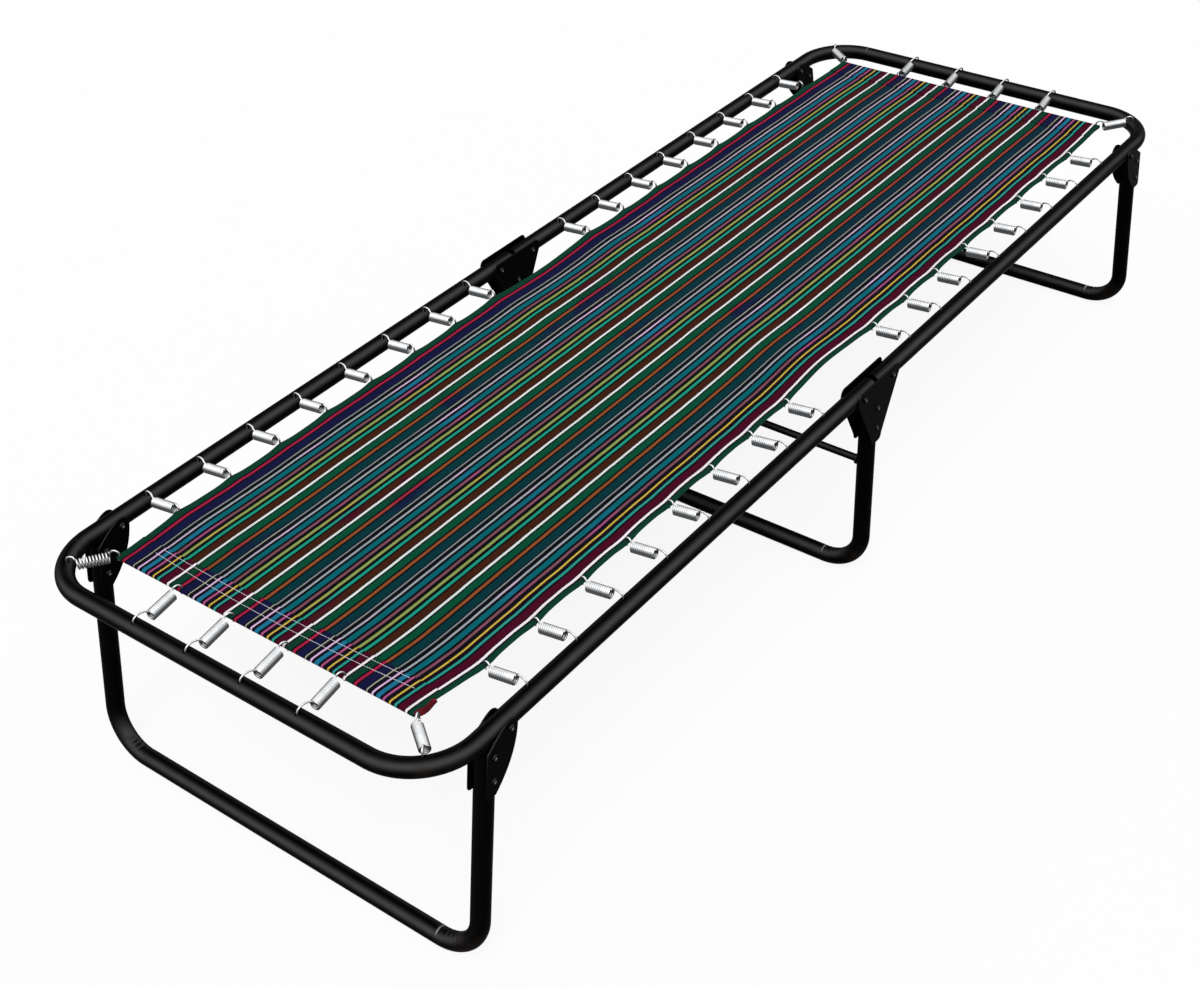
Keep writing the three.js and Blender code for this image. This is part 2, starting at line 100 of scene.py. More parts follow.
class End(Place):
    """The two halves of the cot. The value is the sign of X at that end."""

    FOOT = -1
    HEAD = 1

    @property
    def frame_body(self) -> str:
        """CAD body of this half of the frame."""
        return f"{self.word}_frame"

    @property
    def leg_body(self) -> str:
        """CAD body of this end's leg."""
        return f"{self.word}_leg"


class Side(Place):
    """The two long sides. The value is the sign of Y on that side."""

    LEFT = 1
    RIGHT = -1


@dataclass(frozen=True)
class Plan:
    """Main lines of the cot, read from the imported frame."""

    rail_inset: float
    side_inset: float
    axis_height: float
    tube_flat: float
    hinge_x: float
    open_end: dict[End, float]
    spring_rise: float = 8 * MM

    @classmethod
    def read(cls) -> "Plan":
        """Works the main lines out from the boxes of the frame tubes.

        Returns:
            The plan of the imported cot.
        """
        foot_low, foot_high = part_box("foot_frame_tube")
        head_low, head_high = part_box("head_frame_tube")
        leg_low, leg_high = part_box("mid_leg_tube")
        flat = (foot_high.z - foot_low.z) / 2
        return cls(
            rail_inset=head_high.x - flat,
            side_inset=foot_high.y - flat,
            axis_height=(foot_high.z + foot_low.z) / 2,
            tube_flat=flat,
            hinge_x=(leg_low.x + leg_high.x) / 2,
            open_end={End.FOOT: foot_high.x, End.HEAD: head_low.x},
        )

    @property
    def canvas_height(self) -> float:
        """Height of the middle of the canvas and of the springs."""
        return self.axis_height + self.spring_rise

    def x_at(self, end: End, inset: float) -> float:
        """X of a place a distance in from one end rail's middle line."""
        return end.value * (self.rail_inset - inset)


# Meshes


def linked(name: str, data: bpy.types.ID) -> Piece:
    """Puts data into the scene as a new object.

    Args:
        name: Name of the object.
        data: Its mesh, camera or lamp.

    Returns:
        The object.
    """
    piece = bpy.data.objects.new(name, data)
    bpy.context.scene.collection.objects.link(piece)
    return piece


def smooth(mesh: Mesh, sharp_angle: float = SHARP_ANGLE) -> None:
    """Shades a mesh smooth, with its edges above an angle in degrees kept sharp."""
    mesh.shade_smooth()
    mesh.set_sharp_from_angle(angle=math.radians(sharp_angle))


def new_piece(name: str, vertices: np.ndarray, faces: list, sharp_angle: float = SHARP_ANGLE) -> Piece:
    """Makes a smooth-shaded mesh object with its sharp edges marked.

    Args:
        name: Name of the piece.
        vertices: Points, in metres.
        faces: Vertex indices of each face.
        sharp_angle: Angle above which an edge is sharp, in degrees.

    Returns:
        The new object, linked to the scene.
    """
    mesh = bpy.data.meshes.new(name)
    mesh.from_pydata(np.asarray(vertices, float).tolist(), [], faces)
    mesh.validate()
    smooth(mesh, sharp_angle)
    return linked(name, mesh)


def add_values(piece: Piece, name: str, values: np.ndarray) -> None:
    """Stores one number a vertex under a name that a material can read."""
    attribute = piece.data.attributes.new(name, "FLOAT", "POINT")
    attribute.data.foreach_set("value", np.asarray(values, np.float32))


def joined(parts: list[Shell]) -> Shell:
    """Puts several shells into one list of points and faces.

    Args:
        parts: Points and faces of each shell.

    Returns:
        All points and all faces, renumbered.
    """
    points, faces, first = [], [], 0
    for shell, shell_faces in parts:
        points.append(shell)
        faces.extend([[first + i for i in face] for face in shell_faces])
        first += len(shell)
    return np.concatenate(points), faces


def ring_faces(rows: int, across: int, start: int = 0, flip: bool = False) -> list:
    """Quads between rings of points.

    Args:
        rows: Number of rings.
        across: Points in each ring.
        start: Index of the first point.
        flip: Turns the faces inside out.

    Returns:
        The quads.
    """
    faces = []
    for row in range(rows - 1):
        for i in range(across):
            k = (i + 1) % across
            low, high = start + row * across, start + (row + 1) * across
            quad = [low + i, low + k, high + k, high + i]
            faces.append(quad[::-1] if flip else quad)
    return faces


def closed_faces(rows: int, across: int, flip: bool = False) -> list:
    """Faces of a shell of rings, closed at each end by a tip: the two points after the last ring.

    Args:
        rows: Number of rings.
        across: Points in each ring.
        flip: Turns the faces inside out.

    Returns:
        The quads and the triangles.
    """
    last, tip = (rows - 1) * across, rows * across
    caps = []
    for i in range(across):
        k = (i + 1) % across
        caps += [[k, i, tip], [last + i, last + k, tip + 1]]
    return ring_faces(rows, across, 0, flip) + [cap[::-1] if flip else cap for cap in caps]


def slab(top: np.ndarray, under: np.ndarray, flip: bool) -> Shell:
    """A thin sheet with an upper side, an under side and a rim.

    Args:
        top: Grid of points of the upper side.
        under: The same grid of the under side.
        flip: Turns the faces inside out.

    Returns:
        Points and faces.
    """
    first = top.shape[0] * top.shape[1]
    grid = np.arange(first).reshape(top.shape[:2])
    a, b, c, d = grid[:-1, :-1], grid[1:, :-1], grid[1:, 1:], grid[:-1, 1:]
    quads = [(a, b, c, d), (first + d, first + c, first + b, first + a)]
    for rim in (grid[:, 0], grid[::-1, -1], grid[0, ::-1], grid[-1]):
        start, end = rim[:-1], rim[1:]
        quads.append((start, first + start, first + end, end))
    faces = np.concatenate([np.stack(quad, -1).reshape(-1, 4) for quad in quads])
    points = np.concatenate([top.reshape(-1, 3), under.reshape(-1, 3)])
    return points, (faces[:, ::-1] if flip else faces).tolist()


def directions_along(line: np.ndarray) -> np.ndarray:
    """Unit tangent of a line at each of its points."""
    steps = np.gradient(line, axis=0)
    return steps / np.linalg.norm(steps, axis=1)[:, None]


def directions_round(across: np.ndarray, over: np.ndarray, sides: int) -> np.ndarray:
    """Unit directions all round each point of a line, from two that are square to each other."""
    angles = np.linspace(0, 2 * np.pi, sides, endpoint=False)[:, None]
    return across[:, None] * np.cos(angles) + over[:, None] * np.sin(angles)


def carried_frames(line: np.ndarray, first: np.ndarray) -> tuple[np.ndarray, np.ndarray]:
    """Carries a direction along a line without twisting it.

    Args:
        line: Points of the line.
        first: A direction across the line at its start.

    Returns:
        Two unit directions across the line at each point.
    """
    tangents = directions_along(line)
    across = np.zeros_like(line)
    carried = first
    for i, tangent in enumerate(tangents):
        carried = carried - tangent * (carried @ tangent)
        carried = carried / np.linalg.norm(carried)
        across[i] = carried
    return across, np.cross(tangents, across)


def smooth_line(points: np.ndarray, steps: int) -> np.ndarray:
    """A smooth curve through chosen points.

    Args:
        points: Points that the curve passes.
        steps: New points between each two.

    Returns:
        Points of the curve.
    """
    padded = np.concatenate([2 * points[:1] - points[1:2], points, 2 * points[-1:] - points[-2:-1]])
    shares = np.linspace(0, 1, steps, endpoint=False)[:, None]
    spans = []
    for before, start, end, after in zip(padded, padded[1:], padded[2:], padded[3:], strict=False):
        linear = (end - before) * shares
        square = (2 * before - 5 * start + 4 * end - after) * shares**2
        cube = (3 * start - before - 3 * end + after) * shares**3
        spans.append(start + (linear + square + cube) / 2)
    return np.concatenate([*spans, points[-1:]])


def eased(share: float) -> float:
    """A share from 0 to 1 that starts and ends gently."""
    return share**2 * (3 - 2 * share)


def wire_shell(line: np.ndarray, radius: float, sides: int) -> Shell:
    """A round wire with domed ends.

    Args:
        line: Middle line of the wire.
        radius: Radius of the wire.
        sides: Sides of its section.

    Returns:
        Points and faces.
    """
    tangents = directions_along(line)
    any_other = (0.31, 0.17, 0.93)
    across, over = carried_frames(line, np.cross(tangents[0], any_other))
    rings = line[:, None] + radius * directions_round(across, over, sides)
    tips = np.stack([line[0] - tangents[0] * radius / 2, line[-1] + tangents[-1] * radius / 2])
    return np.concatenate([rings.reshape(-1, 3), tips]), closed_faces(len(line), sides)


@dataclass
class BentLine:
    """A line of straights and round bends, with what each of its points needs for dents and scuffs."""

    points: np.ndarray
    inward: np.ndarray
    bend_share: np.ndarray
    bend_number: np.ndarray

    @classmethod
    def through(
        cls, corners: list[Point], radius: float, straight_step: float, bend_steps: int
    ) -> "BentLine":
        """Rounds the corners of a line.

        Args:
            corners: The line's ends and corners.
            radius: Radius of each bend's middle line.
            straight_step: Longest step along a straight.
            bend_steps: Steps in each bend.

        Returns:
            The bent line.
        """
        spots = [np.array(corner, float) for corner in corners]
        rows = [(spots[0], np.zeros(3), -1.0, -1)]
        for i in range(1, len(spots)):
            heading = (spots[i] - spots[i - 1]) / np.linalg.norm(spots[i] - spots[i - 1])
            last = i == len(spots) - 1
            turn_to = spots[i] if last else spots[i + 1]
            outgoing = heading if last else (turn_to - spots[i]) / np.linalg.norm(turn_to - spots[i])
            angle = 0.0 if last else math.acos(float(np.clip(heading @ outgoing, -1, 1)))
            straight_end = spots[i] - heading * radius * math.tan(angle / 2)
            start = rows[-1][0]
            count = max(1, math.ceil(np.linalg.norm(straight_end - start) / straight_step))
            for step in range(1, count + 1):
                rows.append((start + (straight_end - start) * step / count, np.zeros(3), -1.0, -1))
            if last:
                break
            side = outgoing - heading * (outgoing @ heading)
            side /= np.linalg.norm(side)
            centre = straight_end + side * radius
            for step in range(1, bend_steps + 1):
                turned = angle * step / bend_steps
                point = centre - side * radius * math.cos(turned) + heading * radius * math.sin(turned)
                rows.append((point, (centre - point) / radius, step / bend_steps, i - 1))
        return cls(*(np.array(column) for column in zip(*rows, strict=True)))


@dataclass(frozen=True)
class SteelTube:
    """The 25 mm tube of the frame and the legs."""

    radius: float = 12.5 * MM
    wall: float = 1.2 * MM
    sides: int = 48
    straight_step: float = 12 * MM
    bend_steps: int = 60
    crimp_depth: float = 1.0 * MM
    crimp_width_share: float = 0.022
    small_crimp_share: float = 0.6
    crimp_scuff: float = 0.6
    bend_scuff: float = 0.35
    clamp_reach: float = 0.6

    def piece(
        self, name: str, corners: list[Point], bend_radius: float, plane: np.ndarray,
        crimps: dict[int, tuple[float, ...]], clamp_marks: dict[int, float],
    ) -> Piece:
        """A hollow bent tube, with the wrinkles that bending leaves on the inside of a bend.

        Args:
            name: Name of the piece.
            corners: Ends and corners of its middle line.
            bend_radius: Radius of each bend's middle line.
            plane: Direction square to the plane of the bends.
            crimps: Places of the wrinkles, as shares of each bend, by the number of the bend.
            clamp_marks: Place of the bright line that the bending clamp left, by the number of the bend.

        Returns:
            The tube.
        """
        line = BentLine.through(corners, bend_radius, self.straight_step, self.bend_steps)
        tangents = directions_along(line.points)
        planes = np.broadcast_to(plane, tangents.shape)
        out = directions_round(np.cross(planes, tangents), planes, self.sides)
        facing = np.clip(np.einsum("rsk,rk->rs", out, line.inward), 0, 1)
        radius = np.full(out.shape[:2], self.radius)
        scuff, bare = np.zeros(out.shape[:2]), np.zeros(out.shape[:2])
        for bend, places in crimps.items():
            here = line.bend_number == bend
            for k, place in enumerate(places):
                near = np.exp(-(((line.bend_share - place) / self.crimp_width_share) ** 2)) * here
                lopsided = facing ** (1.5 + k % 2)
                depth = self.crimp_depth * (1 if k % 2 else self.small_crimp_share)
                radius -= near[:, None] * depth * lopsided
                scuff += near[:, None] * lopsided * self.crimp_scuff
        for bend, place in clamp_marks.items():
            close = np.abs(line.bend_share - place) < self.clamp_reach / self.bend_steps
            here = (line.bend_number == bend) * close
            bare += here[:, None] * np.clip(out[..., 2], 0, 1) ** 0.5
        in_bend = line.bend_number >= 0
        scuff += (in_bend * np.sin(np.pi * np.clip(line.bend_share, 0, 1)))[:, None] * self.bend_scuff
        outer = (line.points[:, None] + out * radius[..., None]).reshape(-1, 3)
        inner = (line.points[:, None] + out * (radius - self.wall)[..., None]).reshape(-1, 3)
        rows, first = len(line.points), len(outer)
        faces = ring_faces(rows, self.sides) + ring_faces(rows, self.sides, first, True)
        last = (rows - 1) * self.sides
        for i in range(self.sides):
            k = (i + 1) % self.sides
            faces.append([k, i, first + i, first + k])
            faces.append([last + i, last + k, first + last + k, first + last + i])
        tube = new_piece(name, np.concatenate([outer, inner]), faces)
        for label, values in (("scuff", scuff), ("clamped", bare)):
            add_values(tube, label, np.concatenate([values.ravel(), np.zeros(first)]))
        return tube


def drill(piece: Piece, spots: list[Vector], radius: float, depth: float, sides: int = 28) -> None:
    """Drills upright holes through a piece.

    Args:
        piece: The piece, which is changed.
        spots: Middle of each hole's mouth.
        radius: Radius of the holes.
        depth: Length of the drill, half of it above the mouth.
        sides: Sides of each hole.
    """
    angles = np.linspace(0, 2 * np.pi, sides, endpoint=False)
    circle = np.stack([np.cos(angles), np.sin(angles), np.zeros(sides)], 1) * radius
    caps = [list(range(sides))[::-1], list(range(sides, 2 * sides))]
    shells = []
    for spot in spots:
        rings = np.concatenate([circle + np.array(spot) + (0, 0, z) for z in (-depth / 2, depth / 2)])
        shells.append((rings, ring_faces(2, sides) + caps))
    cutter = new_piece("drill", *joined(shells))
    modifier = piece.modifiers.new("drilled", "BOOLEAN")
    modifier.operation = "DIFFERENCE"
    modifier.solver = "MANIFOLD"
    modifier.object = cutter
    bpy.context.view_layer.update()
    graph = bpy.context.evaluated_depsgraph_get()
    drilled = bpy.data.meshes.new_from_object(piece.evaluated_get(graph))
    piece.modifiers.clear()
    piece.data = drilled
    smooth(drilled)
    bpy.data.objects.remove(cutter)


# Finishes


def colour(code: str) -> tuple[float, float, float, float]:
    """A colour for a shader from its usual screen code.

    Args:
        code: Six hexadecimal digits, as in "1a2b3c".

    Returns:
        Linear red, green, blue and alpha.
    """
    parts = [int(code[i : i + 2], 16) / 255 for i in (0, 2, 4)]
    linear = [c / 12.92 if c <= 0.04045 else ((c + 0.055) / 1.055) ** 2.4 for c in parts]
    return (*linear, 1.0)


class NodeDesk:
    """Places and wires the nodes of one tree."""

    def __init__(self, tree: bpy.types.NodeTree) -> None:
        """Starts work on a tree."""
        self.tree = tree

    def add(self, kind: str, sockets: dict | None = None, **settings: object) -> bpy.types.Node:
        """Adds a node.

        Args:
            kind: Type of the node without its ShaderNode prefix.
            sockets: Value or source of each input, by name or number.
            settings: Properties of the node.

        Returns:
            The new node.
        """
        node = self.tree.nodes.new(f"ShaderNode{kind}")
        for name, value in settings.items():
            setattr(node, name, value)
        self.feed(node, sockets or {})
        return node

    def feed(self, node: bpy.types.Node, sockets: dict) -> None:
        """Sets or links inputs of a node.

        Args:
            node: The node.
            sockets: Value or source of each input, by name or number.
        """
        for key, value in sockets.items():
            if isinstance(value, Socket):
                self.tree.links.new(value, node.inputs[key])
            else:
                node.inputs[key].default_value = value

    def calc(self, operation: str, first: object, second: object = 0.0) -> Socket:
        """The result of one Math node."""
        return self.add("Math", {0: first, 1: second}, operation=operation).outputs[0]

    def chain(self, operation: str, values: Iterable[object]) -> Socket:
        """The result of one operation over several values."""
        return reduce(partial(self.calc, operation), values)

    def times(self, *values: object) -> Socket:
        """The product of some values."""
        return self.chain("MULTIPLY", values)

    def plus(self, *values: object) -> Socket:
        """The sum of some values."""
        return self.chain("ADD", values)

    def largest(self, *values: object) -> Socket:
        """The largest of some values."""
        return self.chain("MAXIMUM", values)

    def spread(self, value: object, low: float, high: float, source: Spot = (0.0, 1.0)) -> Socket:
        """Maps a value from one range to another.

        Args:
            value: The source.
            low: Result at the start of the source range.
            high: Result at its end.
            source: Range of the source.

        Returns:
            The mapped value, clamped.
        """
        sockets = {0: value, 1: source[0], 2: source[1], 3: low, 4: high}
        return self.add("MapRange", sockets).outputs[0]

    def noise(self, vector: object, scale: float, detail: float = 2.0) -> Socket:
        """A noise value at a place."""
        return self.add("TexNoise", {"Vector": vector, "Scale": scale, "Detail": detail}).outputs[0]

    def place(self) -> Socket:
        """The place on the piece, in metres."""
        return self.add("TexCoord").outputs["Object"]

    def stored(self, name: str) -> Socket:
        """A number that was stored at the vertices."""
        return self.add("Attribute", attribute_name=name).outputs["Fac"]

    def mixed(self, share: object, first: object, second: object) -> Socket:
        """A colour between two."""
        return self.add("Mix", {0: share, 6: first, 7: second}, data_type="RGBA").outputs[2]

    def upward(self) -> Socket:
        """How far the surface faces up: 1 for level, 0 for upright."""
        return self.add("SeparateXYZ", {0: self.add("NewGeometry").outputs["Normal"]}).outputs[2]

    def facing(self) -> Socket:
        """How far the surface turns away from the viewer: 0 straight on, 1 at its outline."""
        return self.add("LayerWeight", {"Blend": 0.5}).outputs["Facing"]

    def seen(self) -> Socket:
        """1 where the ray comes from the camera, a reflection or a view through something, else 0."""
        path = self.add("LightPath").outputs
        return self.largest(*(path[f"Is {kind} Ray"] for kind in ("Camera", "Glossy", "Transmission")))


class MaterialDesk(NodeDesk):
    """A node desk for a new material."""

    def __init__(self, name: str) -> None:
        """Starts a material with an empty Principled shader.

        Args:
            name: Name of the material.
        """
        self.material = bpy.data.materials.new(name)
        self.material.use_nodes = True
        super().__init__(self.material.node_tree)
        self.shader = self.tree.nodes["Principled BSDF"]

    def surface(self, tone: object, roughness: object, shine: object, metal: object = 0.0) -> None:
        """Sets the main inputs of the shader.

        Args:
            tone: Base colour.
            roughness: Roughness.
            shine: Strength of the clear reflection.
            metal: How far it is metal.
        """
        self.feed(self.shader, {
            "Base Color": tone, "Roughness": roughness, "Specular IOR Level": shine, "Metallic": metal,
        })

    def bump(self, height: object, distance: float, strength: float) -> None:
        """Gives the shader a bump from a height."""
        node = self.add("Bump", {"Height": height, "Distance": distance, "Strength": strength})
        self.feed(self.shader, {"Normal": node.outputs[0]})


@dataclass(frozen=True)
class SatinPaint:
    """Black semi-gloss paint, scuffed brown-grey where the tube was bent and bare on the crowns of the
    rivets.

    A painted highlight band runs along every rail, at a tilt of the surface that is given here, and fades
    towards the outline.
    """

    fresh: str = "020202"
    # lit is the colour of the painted highlight band, not a reflection.
    lit: str = "414142"
    scuffed: str = "2a2420"
    bare: str = "b8b6b0"
    gloss_low: float = 0.30
    gloss_high: float = 0.42
    shine: float = 0.004
    band_tilt: float = math.radians(47)
    band_spread: float = math.radians(20)
    peel_depth: float = 0.06 * MM

    def build(self) -> Material:
        """Makes the paint.

        Returns:
            The material.
        """
        desk = MaterialDesk("satin_black_paint")
        place = desk.place()
        smears, grain = desk.noise(place, 38, 4), desk.noise(place, 1500, 2)
        peel = desk.noise(place, 420, 3)
        rubbed = desk.times(desk.stored("scuff"), desk.spread(smears, 0, 1, (0.42, 0.68)))
        worn_crown = desk.times(desk.stored("bare"), desk.spread(grain, 0.05, 0.6, (0.35, 0.6)))
        bare_spot = desk.largest(worn_crown, desk.spread(desk.stored("clamped"), 0, 0.9, (0.74, 1.0)))
        # Painted highlight: the paint turns to the lit colour in a band where the surface tilts up by
        # band_tilt, weaker towards the outline.
        tilt = desk.calc("ARCSINE", desk.upward())
        off = desk.calc("DIVIDE", desk.calc("SUBTRACT", tilt, self.band_tilt), self.band_spread)
        band = desk.calc("EXPONENT", desk.times(off, off, -1.0))
        near_side = desk.spread(desk.facing(), 1, 0, (0.4, 0.7))
        lit = desk.times(band, near_side, desk.spread(smears, 0.75, 1.1))
        tone_with_painted_band = desk.mixed(lit, colour(self.fresh), colour(self.lit))
        painted = desk.mixed(rubbed, tone_with_painted_band, colour(self.scuffed))
        gloss = desk.spread(smears, self.gloss_low, self.gloss_high)
        desk.surface(
            desk.mixed(bare_spot, painted, colour(self.bare)), desk.plus(gloss, desk.times(grain, 0.04)),
            self.shine, bare_spot)
        desk.bump(desk.plus(peel, desk.times(grain, 0.3)), self.peel_depth, 0.35)
        return desk.material


@dataclass(frozen=True)
class ZincWire:
    """Bright zinc on drawn spring wire, with painted shade underneath and at its outline."""

    bright: str = "f2f3f4"
    dull: str = "dcdee0"
    # side and outline are painted shade: side where the wire faces down, outline where it turns away from
    # the viewer.
    side: str = "505356"
    outline: str = "141517"
    roughness_low: float = 0.42
    roughness_high: float = 0.55
    metal: float = 0.6
    shine: float = 0.5

    def build(self) -> Material:
        """Makes the zinc.

        Returns:
            The material.
        """
        desk = MaterialDesk("zinc_spring_wire")
        bloom = desk.noise(desk.place(), 90, 3)
        coat = desk.mixed(desk.spread(bloom, 0, 1, (0.4, 0.7)), colour(self.bright), colour(self.dull))
        # Painted shade: the wire turns to the side colour as it faces down, and to the outline colour at
        # its outline.
        lit_top_share = desk.spread(desk.upward(), 0, 1, (0.25, 0.82))
        turned = desk.spread(desk.facing(), 0, 1, (0.34, 0.76))
        tone = desk.mixed(turned, desk.mixed(lit_top_share, colour(self.side), coat), colour(self.outline))
        desk.surface(
            tone, desk.spread(bloom, self.roughness_low, self.roughness_high), self.shine, self.metal)
        return desk.material


class Yarn(Enum):
    """Yarns of the striped canvas: colour and shown share of the stripe, on the face and on the reverse.

    Black fills the rest of the stripe. The reverse is brighter.
    """

    WHITE = (("dde4e2", 0.85), ("f2eaf0", 0.85))
    BLACK = (("08090c", 1.0), ("100c16", 1.0))
    GREEN = (("064c34", 1.0), ("0c3a2a", 1.0))
    RUST = (("8e4c2a", 0.7), ("a41c40", 0.65))
    TEAL = (("04343a", 1.0), ("12163c", 1.0))
    GREY = (("7f858b", 0.62), ("9c9f8e", 0.5))
    LAVENDER = (("9ca4ac", 0.62), ("d8b4dc", 0.55))
    PETROL = (("06626c", 0.95), ("1c7090", 0.8))
    ROSE = (("7c4c5a", 0.7), ("ac5084", 0.6))
    OLIVE = (("8a9c54", 0.78), ("c8ac44", 0.6))
    MINT = (("1a967e", 0.8), ("2a9488", 0.65))
    BROWN = (("3f1e10", 1.0), ("480820", 1.0))


@dataclass(frozen=True)
class StripedCanvas:
    """Woven canvas with stripes along the bed, repeated every 100 mm across it.

    Each band is a yarn, the width of its stripe and the width of the black stripe after it, in millimetres.
    """

    repeat: float = 100 * MM
    first_white: float = 257.8 * MM
    left_margin: float = 222 * MM
    right_margin: float = -212 * MM
    thread_pitch: float = 1.3 * MM
    thread_height: float = 0.12 * MM
    wander: float = 0.5 * MM
    bands: tuple[tuple[Yarn, float, float], ...] = (
        (Yarn.WHITE, 3.5, 2.2), (Yarn.GREEN, 9.4, 1.8), (Yarn.RUST, 6.0, 1.9), (Yarn.TEAL, 10.4, 1.4),
        (Yarn.GREY, 3.6, 4.4), (Yarn.LAVENDER, 5.0, 2.8), (Yarn.PETROL, 7.8, 2.4), (Yarn.ROSE, 5.6, 4.2),
        (Yarn.OLIVE, 5.2, 3.6), (Yarn.MINT, 5.6, 2.2), (Yarn.BROWN, 9.2, 1.8),
    )

    def ramp(self, desk: NodeDesk, position: Socket, face: int) -> Socket:
        """The stripes as a colour ramp.

        Args:
            desk: The material.
            position: Place in the repeat, from 0 to 1.
            face: 0 for the colours of the face, 1 for those of the reverse.

        Returns:
            The colour there.
        """
        node = desk.add("ValToRGB", {0: position})
        ramp = node.color_ramp
        ramp.interpolation = "CONSTANT"
        stripes = []
        for yarn, width, black in self.bands:
            stripes += [(yarn, width), (Yarn.BLACK, black)]
        total = sum(width for _, width in stripes)
        hidden = [width * (1 - yarn.value[face][1]) / 2 for yarn, width in stripes]
        start = 0.0
        for i, (yarn, width) in enumerate(stripes):
            place = max(0.0, start + hidden[i] - hidden[i - 1]) / total
            stop = ramp.elements[0] if i == 0 else ramp.elements.new(place)
            stop.position = 0.0 if i == 0 else place
            stop.color = colour(yarn.value[face][0])
            start += width
        ramp.elements.remove(ramp.elements[-1])
        return node.outputs[0]

    def build(self) -> Material:
        """Makes the canvas.

        Returns:
            The material.
        """
        desk = MaterialDesk("striped_canvas")
        split = desk.add("SeparateXYZ", {0: desk.add("UVMap", uv_map="weave").outputs[0]}).outputs
        across, along = split[0], split[1]

        def noise(wide: float, long: float, detail: float, low: float, high: float) -> Socket:
            """A spread noise in the cloth, with its own scale in each direction."""
            scaled = {0: desk.times(across, wide), 1: desk.times(along, long)}
            return desk.spread(desk.noise(desk.add("CombineXYZ", scaled).outputs[0], 1, detail), low, high)

        wander = noise(60, 35, 2, -self.wander, self.wander)
        fibre = noise(900, 160, 2, -self.wander / 2, self.wander / 2)
        from_white = desk.calc("SUBTRACT", self.first_white, desk.plus(across, wander, fibre))
        position = desk.calc("FRACT", desk.calc("DIVIDE", from_white, self.repeat))
        face, reverse = self.ramp(desk, position, 0), self.ramp(desk, position, 1)
        clouds = desk.spread(noise(11, 7, 3, 0, 1), 0, 0.85, (0.56, 0.64))
        faded = desk.spread(along, 0, 0.4, (-0.15, 0.5))
        reversed_share = desk.largest(
            desk.stored("hem"), desk.calc("GREATER_THAN", across, self.left_margin),
            desk.calc("LESS_THAN", across, self.right_margin), clouds, faded)
        warp, weft = noise(1100, 14, 2, 0.72, 1.28), noise(90, 950, 1, 0.84, 1.16)
        value = desk.times(warp, weft, noise(5, 4, 3, 0.88, 1.12))
        woven = {"Value": value, "Color": desk.mixed(reversed_share, face, reverse)}
        desk.surface(desk.add("HueSaturation", woven).outputs[0], 0.92, 0.04)
        turn = 2 * math.pi / self.thread_pitch
        ribs, picks = (desk.calc("SINE", desk.times(place, turn)) for place in (across, along))
        desk.bump(desk.plus(desk.times(ribs, picks), desk.times(ribs, 0.6)), self.thread_height, 0.4)
        return desk.material


@dataclass(frozen=True)
class Thread:
    """Sewing thread, a little darker in its twist."""

    name: str = "white_sewing_thread"
    light: str = "f1eff0"
    shade: str = "a8a4a8"

    def build(self) -> Material:
        """Makes the thread.

        Returns:
            The material.
        """
        desk = MaterialDesk(self.name)
        ply = desk.noise(desk.place(), 1800, 2)
        twist = desk.spread(ply, 0, 1, (0.35, 0.75))
        desk.surface(desk.mixed(twist, colour(self.light), colour(self.shade)), 0.7, 0.2)
        desk.bump(ply, 0.1 * MM, 0.4)
        return desk.material


@dataclass(frozen=True)
class RedLining:
    """Dark red cloth of the folded hem corner."""

    deep: str = "4a0610"
    bright: str = "76101e"
    gap: str = "1c0206"

    def build(self) -> Material:
        """Makes the lining.

        Returns:
            The material.
        """
        desk = MaterialDesk("red_hem_lining")
        place = desk.place()
        yarns, folds = desk.noise(place, 900, 2), desk.noise(place, 90, 3)
        cloth = desk.mixed(desk.spread(folds, 0, 1, (0.35, 0.65)), colour(self.deep), colour(self.bright))
        desk.surface(desk.mixed(desk.spread(yarns, 0, 0.5), cloth, colour(self.gap)), 0.85, 0.15)
        desk.bump(yarns, 0.12 * MM, 0.4)
        return desk.material


@dataclass
class Finishes:
    """All materials of the cot."""

    paint: Material
    zinc: Material
    canvas: Material
    threads: dict[End, Material]
    lining: Material

    @classmethod
    def build(cls) -> "Finishes":
        """Makes every material once.

        Returns:
            The finishes.
        """
        dark = Thread("dark_sewing_thread", "2c2630", "100c14")
        threads = {End.FOOT: Thread().build(), End.HEAD: dark.build()}
        rest = [finish.build() for finish in (SatinPaint(), ZincWire(), StripedCanvas())]
        return cls(*rest, threads, RedLining().build())


def dress(piece: Piece, material: Material, body: str, stands_for: Iterable[str] = ()) -> Piece:
    """Gives a piece its finish and its body, and hides the CAD nodes that it stands for.

    Args:
        piece: The piece, in place.
        material: Its finish.
        body: The CAD body that it moves with.
        stands_for: CAD nodes that it replaces.

    Returns:
        The piece.
    """
    piece.data.materials.clear()
    piece.data.materials.append(material)
    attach(piece, body)
    if stands_for:
        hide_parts(*stands_for)
    return piece


# Springs


class Winding(Enum):
    """How a spring's coil lies: turns touching, or drawn apart."""

    CLOSE = "close"
    DRAWN = "drawn"


